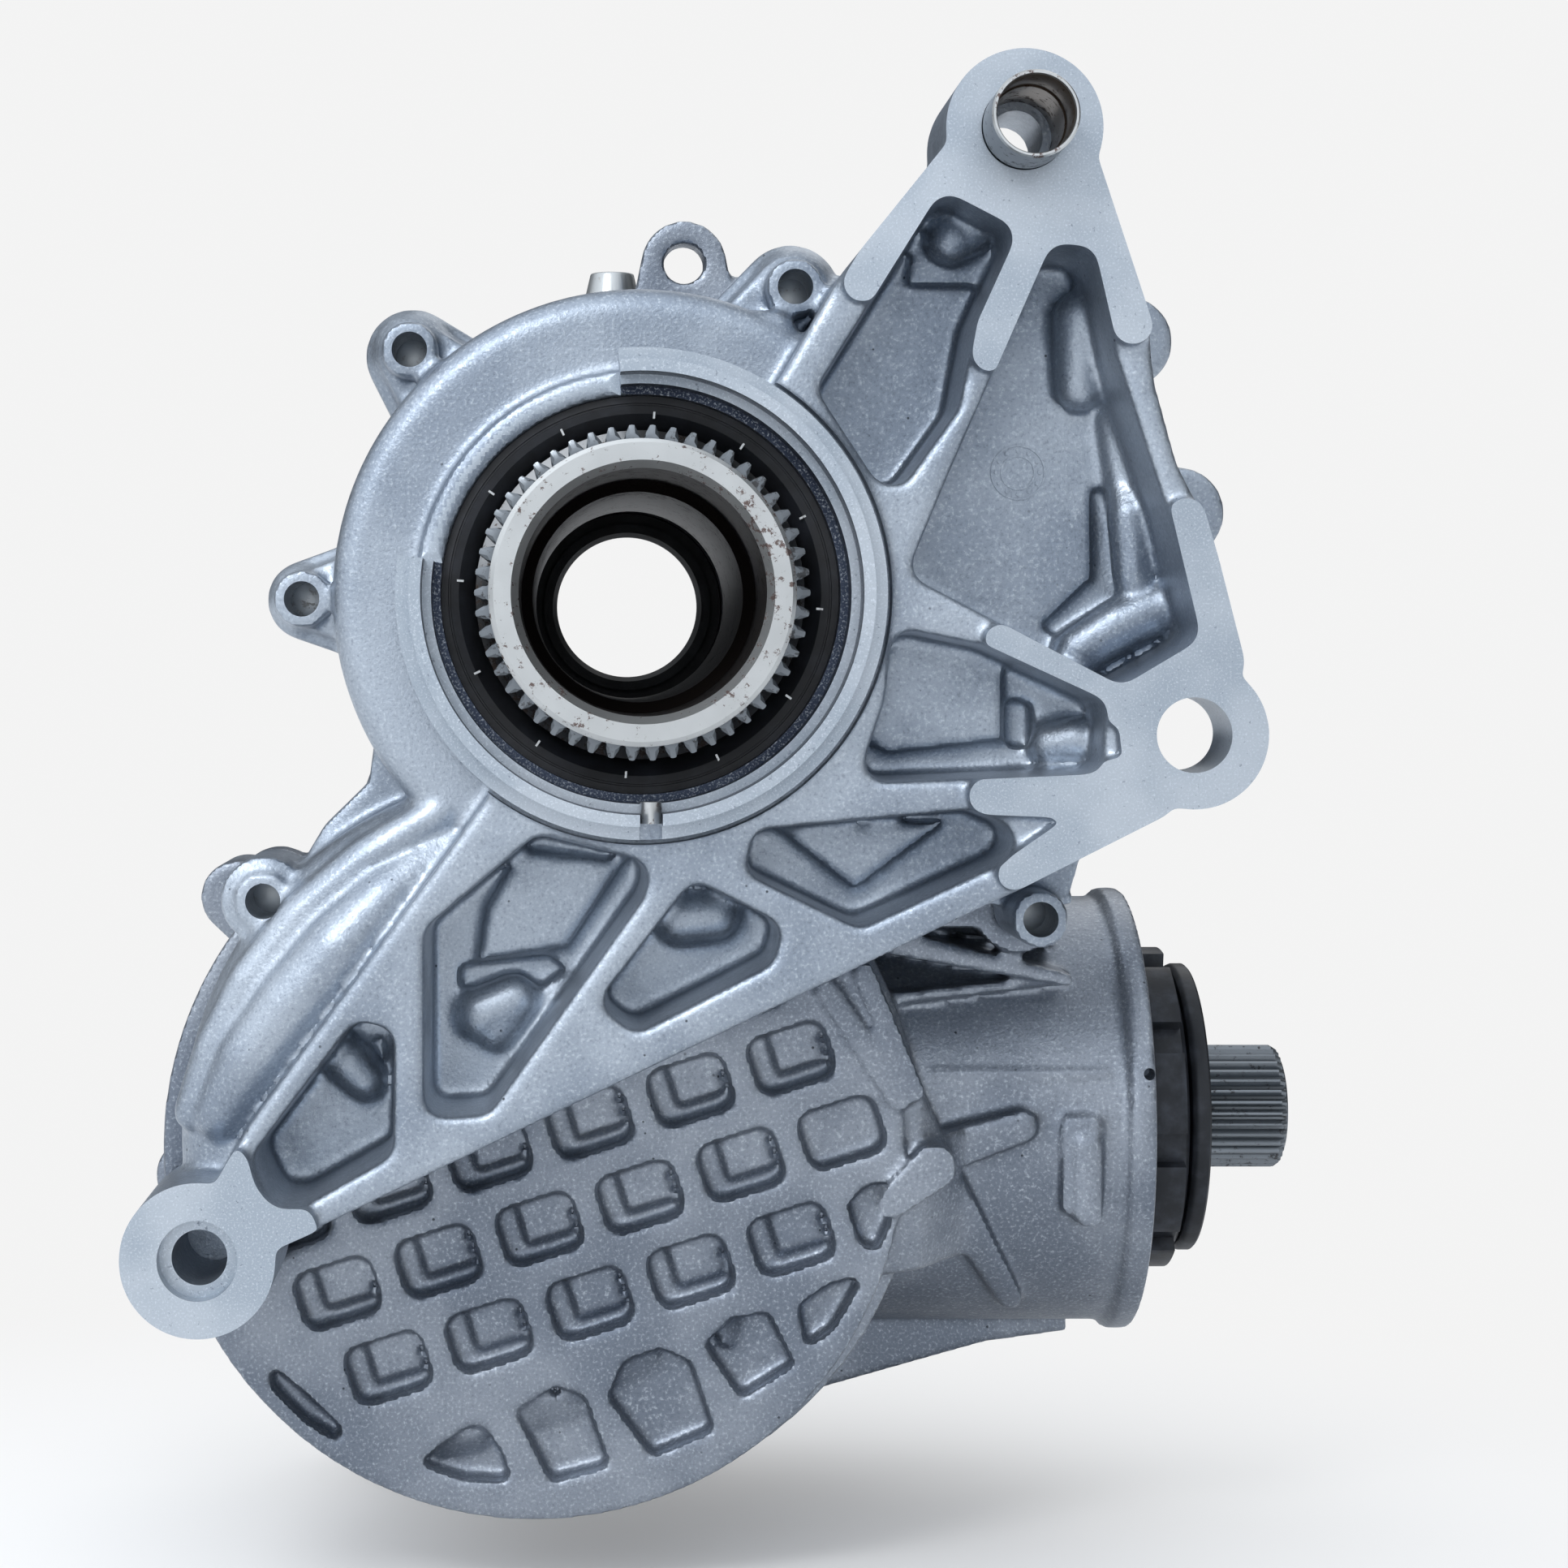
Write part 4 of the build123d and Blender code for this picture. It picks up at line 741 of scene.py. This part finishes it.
def front_casting():
    """Bracket half of the case: rounded as cast, then faced, bored and drilled."""
    made = merged_copy("front_housing", "front_casting")
    for v in made.data.vertices:
        if abs(v.co.y) < 5e-5 and math.hypot(v.co.x, v.co.z) > FLANGE_R + 0.0009:
            v.co.y = ROUGH_FACE
    cut(made, pocket_floor_cuts())
    join(made, front_stock())
    cast_skin(made, 0.0008, 9)
    cut(made, front_tools())
    thin_out(made, 185000)
    finishes(made, "cast", "milled", "bored")
    paint(
        made, 1,
        [(0.0, -1), (COLLAR_FRONT, -1), (MOUTH_BACK, -1), (NOTCH_FLOOR, -1), (0.004, -1)],
        [(0, 0, PILOT_R, -0.01, 0.0), (0, 0, FLANGE_R, -0.01, 0.007), (*RIGHT_EAR, RIGHT_HOLE_R, -0.01, 0.03),
         (*LOWER_EAR, LOWER_SINK_R, -0.01, 0.01), (*TOP_EAR, DOWEL_SEAT_R, -0.01, 0.014)],
    )
    # Slot 2 paints the collar's bore walls and counterbore floors dark: painted shade inside the bore.
    paint(
        made, 2,
        [(SEAT_BACK, -1), (SEAL_BACK, -1)],
        [(0, 0, MOUTH_R, -0.0052, 0.002), (0, 0, SEAT_R, 0.0, 0.009), (0, 0, SEAL_R, 0.0, 0.024),
         (0, 0, CUP_R, 0.02, 0.03)],
        within=0.041,
    )
    smooth_by_angle(made.data, 32)
    return settle(made, "case", "cast_aluminium", "front_housing")


# Waffle of the drum's front face: first cell, the steps along and down its rows, and its pads
CELL_START = Vector((-0.0192, -0.1242))
CELL_ALONG, CELL_DOWN = Vector((0.01984, 0.00633)), Vector((0.00997, -0.01466))
PAD_W, PAD_H, PAD_RIGHT, PAD_UP, PAD_LEVEL = 0.0092, 0.0072, 0.0016, 0.0010, 0.0029
PADS_INSIDE, PADS_TOP = DISC_R - 0.0125, -0.068
CELL_BACK = DRUM_FRONT + 0.007

# Open cells at the drum's rim: low and high end of each one's ramp at (x, z), and its width
RIM_RAMPS = [
    ((0.0, -0.1550), (-0.0030, -0.1490), 0.012), ((-0.0160, -0.1640), (-0.0180, -0.1580), 0.012),
    ((-0.0350, -0.1700), (-0.0360, -0.1655), 0.012), ((0.0210, -0.1450), (0.0170, -0.1440), 0.007),
]
RAMP_LOW, RAMP_HIGH = 0.0048, 0.0016


def cell_pads():
    """Raised pads in the waffle's cells, towards the upper right of each one."""
    tilt = math.atan2(CELL_ALONG[1], CELL_ALONG[0])
    along = Vector((math.cos(tilt), math.sin(tilt)))
    up = Vector((-along.y, along.x))
    sides = [(-1, -1), (1, -1), (1, 1), (-1, 1)]
    pads = []
    for i in range(-6, 6):
        for k in range(-4, 2):
            spot = CELL_START + i * CELL_ALONG + k * CELL_DOWN
            if math.hypot(spot.x - DISC_X, spot.y - DISC_Z) > PADS_INSIDE or spot.y > PADS_TOP:
                continue
            middle = spot + PAD_RIGHT * along + PAD_UP * up
            corners = [middle + sx * PAD_W / 2 * along + sz * PAD_H / 2 * up for sx, sz in sides]
            pads.append(prism("pad", [(c.x, c.y) for c in corners], DRUM_FRONT + PAD_LEVEL, CELL_BACK))
    return pads


def rim_ramps():
    """Sloping upper part of the open cells next to the drum's rim."""
    ramps = []
    for low, high, wide in RIM_RAMPS:
        a, b = Vector(low), Vector(high)
        side = Vector((-(b - a).y, (b - a).x)).normalized() * wide / 2
        corners = [a - side, a + side, b + side, b - side]
        verts = [(c.x, DRUM_FRONT + (RAMP_LOW if i < 2 else RAMP_HIGH), c.y) for i, c in enumerate(corners)]
        verts += [(c.x, CELL_BACK, c.y) for c in corners]
        faces = [(0, 1, 2, 3), (4, 5, 6, 7)]
        faces += [(i, (i + 1) % 4, 4 + (i + 1) % 4, 4 + i) for i in range(4)]
        ramps.append(from_points("ramp", verts, faces))
        tidy_mesh(ramps[-1].data)
    return ramps


def snout_marks():
    """Parting line and lip of the pinion's snout."""
    front = PINION_Y - math.sqrt((SNOUT_R + 0.0001) ** 2 - (SNOUT_LINE_Z - RING_Z) ** 2)
    lip = [(0.043, 0.0998), (0.0462, 0.0998), (0.0468, 0.1003), (0.0468, SNOUT_END), (0.043, SNOUT_END)]
    return [
        cylinder("line", (0.060, front, SNOUT_LINE_Z), (0.0955, front, SNOUT_LINE_Z), 0.0005, steps=16),
        turned("lip", lip, PINION_LINE, "X"),
    ]


def main_casting():
    """Drum and pinion snout half of the case."""
    made = merged_copy("main_housing", "main_casting")
    join(made, cell_pads() + rim_ramps() + snout_marks())
    cast_skin(made, 0.00085, 6)
    nick_x = SNOUT_END - 0.0015
    cut(made, [
        turned("snout_face", band(0.0, 0.06, SNOUT_END, SNOUT_END + 0.01), PINION_LINE, "X"),
        turned("snout_bore", band(0.0, SNOUT_BORE_R, 0.079, SNOUT_END + 0.02), PINION_LINE, "X"),
        cylinder("nick", (nick_x, 0.0500, SNOUT_LINE_Z), (nick_x, 0.0600, SNOUT_LINE_Z), 0.0012, steps=24),
    ])
    thin_out(made, 190000)
    # The drum finish is a darker copy of the cast aluminium: painted shade.
    finishes(made, "drum", "milled")
    paint(made, 1, ends=[(SNOUT_END, 1)])
    smooth_by_angle(made.data, 35)
    return settle(made, "case", "cast_aluminium", "main_housing")


def cover_casting():
    """Rear cover, rounded as cast."""
    made = merged_copy("rear_cover", "cover_casting")
    cast_skin(made, 0.0008, 6)
    thin_out(made, 90000)
    # The drum finish is a darker copy of the cast aluminium: painted shade.
    finishes(made, "drum")
    smooth_by_angle(made.data, 35)
    return settle(made, "case", "cast_aluminium", "rear_cover")


# Repeats about an axis

def around_tree():
    """Geometry Nodes tree that repeats its geometry about the origin and gives it a material."""
    tree = bpy.data.node_groups.new("around_axis", "GeometryNodeTree")
    face = tree.interface
    face.new_socket("Geometry", in_out="INPUT", socket_type="NodeSocketGeometry")
    face.new_socket("Count", in_out="INPUT", socket_type="NodeSocketInt")
    face.new_socket("Step", in_out="INPUT", socket_type="NodeSocketVector")
    face.new_socket("First", in_out="INPUT", socket_type="NodeSocketVector")
    face.new_socket("Finish", in_out="INPUT", socket_type="NodeSocketMaterial")
    face.new_socket("Geometry", in_out="OUTPUT", socket_type="NodeSocketGeometry")
    Val.tree = tree
    given = Val.node("NodeGroupInput").outputs
    points = Val.node("GeometryNodeMeshLine", Count=given["Count"])
    points.inputs["Offset"].default_value = (0, 0, 0)
    number = Val.node("GeometryNodeInputIndex").outputs[0]
    steps = Val.node("ShaderNodeVectorMath", {"operation": "SCALE"}, i0=given["Step"], Scale=number)
    turn = Val.node("ShaderNodeVectorMath", {"operation": "ADD"}, i0=steps.outputs[0], i1=given["First"])
    copies = Val.node("GeometryNodeInstanceOnPoints", Points=points.outputs[0], Instance=given["Geometry"])
    link(copies.inputs["Rotation"], turn.outputs[0])
    real = Val.node("GeometryNodeRealizeInstances", Geometry=copies.outputs[0])
    painted = Val.node("GeometryNodeSetMaterial", Geometry=real.outputs[0], Material=given["Finish"])
    link(Val.node("NodeGroupOutput").inputs[0], Val(painted.outputs[0]))
    return tree


AROUND = around_tree()


def repeat(made, count, axis, first, mat):
    """Repeat a piece about the X or Y axis through the origin, evenly, first at an angle in degrees."""
    step = -2 * math.pi / count
    turn = (step, 0, 0) if axis == "X" else (0, step, 0)
    start = (-math.radians(first), 0, 0) if axis == "X" else (0, -math.radians(first), 0)
    mod = made.modifiers.new("around", "NODES")
    mod.node_group = AROUND
    values = {"Count": count, "Step": turn, "First": start, "Finish": mat}
    for item in AROUND.interface.items_tree:
        if item.in_out == "INPUT" and item.name in values:
            mod[item.identifier] = values[item.name]
    return bake_modifiers(made)


def shift(made, x=0.0, y=0.0, z=0.0):
    """Move an object's mesh, while the object stays at the origin."""
    made.data.transform(Matrix.Translation((x, y, z)))
    return made


# Shafts

INPUT_TEETH, STUB_TEETH, SEAL_RIBS, DATE_DOTS = 50, 34, 12, 12
NOSE_BORE_R, NOSE_BACK = 0.0232, -0.0078


def mm(profile):
    """Profile in metres from one in millimetres."""
    return [(r * 0.001, s * 0.001) for r, s in profile]


def tooth(name, half, low, high, start, end, lead, axis):
    """One spline tooth about the axis; half is its half width at the root, lead the length of its lead-in."""
    shoulder = low + 0.45 * (high - low)
    section = [(-half, low), (-0.72 * half, shoulder), (-0.3 * half, high - 0.0001), (0.0, high)]
    section += [(-u, v) for u, v in section[-2::-1]]
    stations = [(start, 0.45), (start + lead, 1.0), (end - lead, 1.0), (end, 0.45)]
    verts, faces = [], []
    n = len(section)
    for s, grow in stations:
        for u, v in section:
            rise = low + (v - low) * grow
            verts.append((u, s, rise) if axis == "Y" else (s, u, rise))
    for i in range(len(stations) - 1):
        for k in range(n):
            faces.append((i * n + k, i * n + (k + 1) % n, (i + 1) * n + (k + 1) % n, (i + 1) * n + k))
    faces += [tuple(range(n)), tuple(range(len(stations) * n - 1, (len(stations) - 1) * n - 1, -1))]
    made = from_points(name, verts, faces)
    tidy_mesh(made.data)
    return made


def add_parts(target, others):
    """Join finished pieces, each with its one material, onto target as further material slots."""
    mesh = target.data
    bm = bmesh.new()
    bm.from_mesh(mesh)
    for other in others:
        mats = list(other.data.materials)
        base = len(mesh.materials)
        for mat in mats:
            mesh.materials.append(mat)
        count = len(bm.faces)
        bm.from_mesh(other.data)
        bm.faces.ensure_lookup_table()
        for face in bm.faces[count:]:
            face.material_index += base
        bpy.data.objects.remove(other)
    bm.to_mesh(mesh)
    bm.free()


def colour_by(made, rule):
    """Give each face the material index that rule returns for its centre and normal."""
    for face in made.data.polygons:
        face.material_index = rule(face.center, face.normal)


def input_sleeve():
    """Bored input shaft with its ground nose and splines."""
    made = turned("input_sleeve", mm([
        (22.6, -10.2), (24.0, -12), (27.2, -12), (27.9, -11.3), (27.9, -8), (28.2, -7.7), (28.2, 9),
        (30.98, 11), (30.98, 43), (36, 43), (36, 47), (33, 47), (33, 68), (31.5, 68), (31.5, 69.7),
        (33, 69.7), (33, 72), (29.5, 75), (29.5, 97), (25.98, 97), (25.98, 112), (24.98, 113),
        (20.5, 113), (20.5, 32), (22.6, 29),
    ]), mats=[MATS["bright"], MATS["gear"], MATS["bore_shade"]])

    def finish(centre, normal):
        # Faces inside the nose bore get the near black bore finish: painted shade in the bore.
        if math.hypot(centre.x, centre.z) < NOSE_BORE_R:
            return 2
        return 0 if centre.y < NOSE_BACK else 1

    colour_by(made, finish)
    first = tooth("tooth", 0.00165, 0.0279, 0.0308, -0.0070, 0.0094, 0.0006, "Y")
    teeth = repeat(first, INPUT_TEETH, "Y", -90.0, MATS["stub"])
    add_parts(made, [teeth])
    smooth_by_angle(made.data, 30)
    return settle(made, "input_line", "gear_steel", "input_shaft")


def output_stub():
    """Pinion with its stem, ending in the splines for the propeller shaft's flange."""
    made = merged_copy("pinion_shaft", "pinion_stem")
    cut(made, [turned("end", band(0.0, 0.030, 0.1195, 0.150), PINION_LINE, "X")])
    finishes(made, "gear")
    stub = turned("stub", mm([
        (0, 119.4), (13.1, 119.4), (13.1, 119.9), (11.7, 120.6), (11.7, 138.0), (10.7, 139), (4.0, 139),
        (2.4, 136.5), (0, 136.5),
    ]), PINION_LINE, "X", [MATS["stub"]])
    first = tooth("tooth", 0.00088, 0.0115, 0.0130, 0.1203, 0.1385, 0.0012, "X")
    teeth = shift(repeat(first, STUB_TEETH, "X", -90.0, MATS["stub"]), y=PINION_Y, z=RING_Z)
    add_parts(made, [stub, teeth])
    smooth_by_angle(made.data, 30)
    return settle(made, "pinion_line", "gear_steel", "pinion_shaft")


# Small turned and forged pieces

def fine_copy(node, name, mat, slot, bevel):
    """Copy of a node with its edges broken."""
    made = merged_copy(node, name)
    bm = bmesh.new()
    bm.from_mesh(made.data)
    bmesh.ops.dissolve_limit(bm, angle_limit=math.radians(1.0), verts=bm.verts, edges=bm.edges)
    bm.to_mesh(made.data)
    bm.free()
    mod = made.modifiers.new("edge", "BEVEL")
    mod.width = bevel
    mod.segments = 2
    mod.limit_method = "ANGLE"
    mod.angle_limit = math.radians(38)
    mod.use_clamp_overlap = True
    bake_modifiers(made)
    finishes(made, mat)
    smooth_by_angle(made.data, 40)
    return settle(made, NODE_BODY[node], slot, node)


def fine_turned(name, profile, node, mats, rule=None, centre=(0.0, 0.0), axis="Y"):
    """Turned piece that stands for a node."""
    made = turned(name, mm(profile), centre, axis, [MATS[m] for m in mats])
    if rule:
        colour_by(made, rule)
    smooth_by_angle(made.data, 30)
    return settle(made, NODE_BODY[node], NODE_SLOT[node], node)


def dowel_sleeve():
    """Hollow dowel: bright rim, oil-tinted inside and a darker outside."""
    rim_back, inside_r = -0.0142, 0.0074

    def finish(centre, normal):
        if centre.y < rim_back:
            return 0
        return 1 if math.hypot(centre.x - TOP_EAR[0], centre.z - TOP_EAR[1]) < inside_r else 2

    return fine_turned("dowel_sleeve", [
        (7.1, -14.5), (7.3, -15), (7.7, -15), (8, -14.5), (8, -1.6), (7.6, -1.2), (7.6, 0.8), (8, 1.2),
        (8, 12.2), (7.5, 12.8), (6.8, 12.8), (6.8, -3.6), (7.1, -4.0),
    ], "hollow_dowel", ["bright", "tinted", "stub"], finish, TOP_EAR)


def seal_and_marks():
    """Front oil seal, with the moulder's short ribs round its face."""
    made = turned("front_seal", mm([
        (31.05, 17), (32.05, 15), (33.2, 13.2), (34.2, 12.3), (35.7, 12.0), (35.8, 12.3), (36.1, 12.3),
        (36.2, 12.0), (37.48, 12.0), (37.48, 20), (32.25, 20), (31.05, 18),
    ]), mats=[MATS["rubber"]])
    rib = box("rib", (0, 0.0125, 0.0340), (0.0004, 0.0008, 0.0013))
    # The rubber ribs are given bright steel: painted highlights on them.
    add_parts(made, [repeat(rib, SEAL_RIBS, "Y", 55.5, MATS["bright"])])
    smooth_by_angle(made.data, 30)
    return settle(made, "case", "seal_rubber", "input_front_seal")


def date_ring():
    """Blank casting-date clock: two rings and a circle of dots on the pocket's floor."""
    centre = seen(*DATE_CLOCK)
    floor, back = 0.0270, 0.0278
    made = turned("date_ring", band(0.0050, 0.0053, floor - 0.0003, back), mats=[MATS["cast"]], steps=96)
    inner = turned("inner", band(0.0030, 0.0034, floor - 0.00025, back), mats=[MATS["cast"]], steps=96)
    dot = cylinder("dot", (0, back, 0.0042), (0, floor - 0.0003, 0.0042), 0.0004, steps=12)
    add_parts(made, [inner, repeat(dot, DATE_DOTS, "Y", 0.0, MATS["cast"])])
    shift(made, centre.x, 0, centre.z)
    smooth_by_angle(made.data, 30)
    return settle(made, "case", "cast_aluminium")


def small_pieces():
    """Fasteners, plugs, cap, shield, dowel, seal and date clock."""
    fine_copy("pinion_lock_ring", "lock_ring", "black", "black_steel", 0.0006)
    fine_copy("front_joint_bolts", "joint_bolts", "zinc", "zinc_steel", 0.0003)
    fine_copy("rear_cover_bolts", "cover_bolts", "zinc", "zinc_steel", 0.0003)
    fine_copy("fill_plug", "fill_plug_body", "zinc", "zinc_steel", 0.0004)
    fine_copy("drain_plug", "drain_plug_body", "zinc", "zinc_steel", 0.0004)
    fine_copy("breather_cap", "vent_cap", "zinc", "zinc_steel", 0.0003)
    fine_turned("dust_shield", [
        (13.22, 115), (25.5, 115), (29.5, 115.3), (30.2, 115.9), (30.5, 116.6), (30.5, 118.6), (30.1, 119),
        (27.9, 119), (27.4, 118.7), (20, 118), (17, 118.8), (13.22, 118.8),
    ], "pinion_dust_shield", ["black"], None, PINION_LINE, "X")
    dowel_sleeve()
    seal_and_marks()
    date_ring()


def dress_nodes():
    """Finish of the plain CAD nodes."""
    for name, thing in nodes.items():
        thing.data.materials.clear()
        thing.data.materials.append(MATS[SLOT_MATS[NODE_SLOT[name]]])


front_casting()
main_casting()
cover_casting()
input_sleeve()
output_stub()
small_pieces()
dress_nodes()
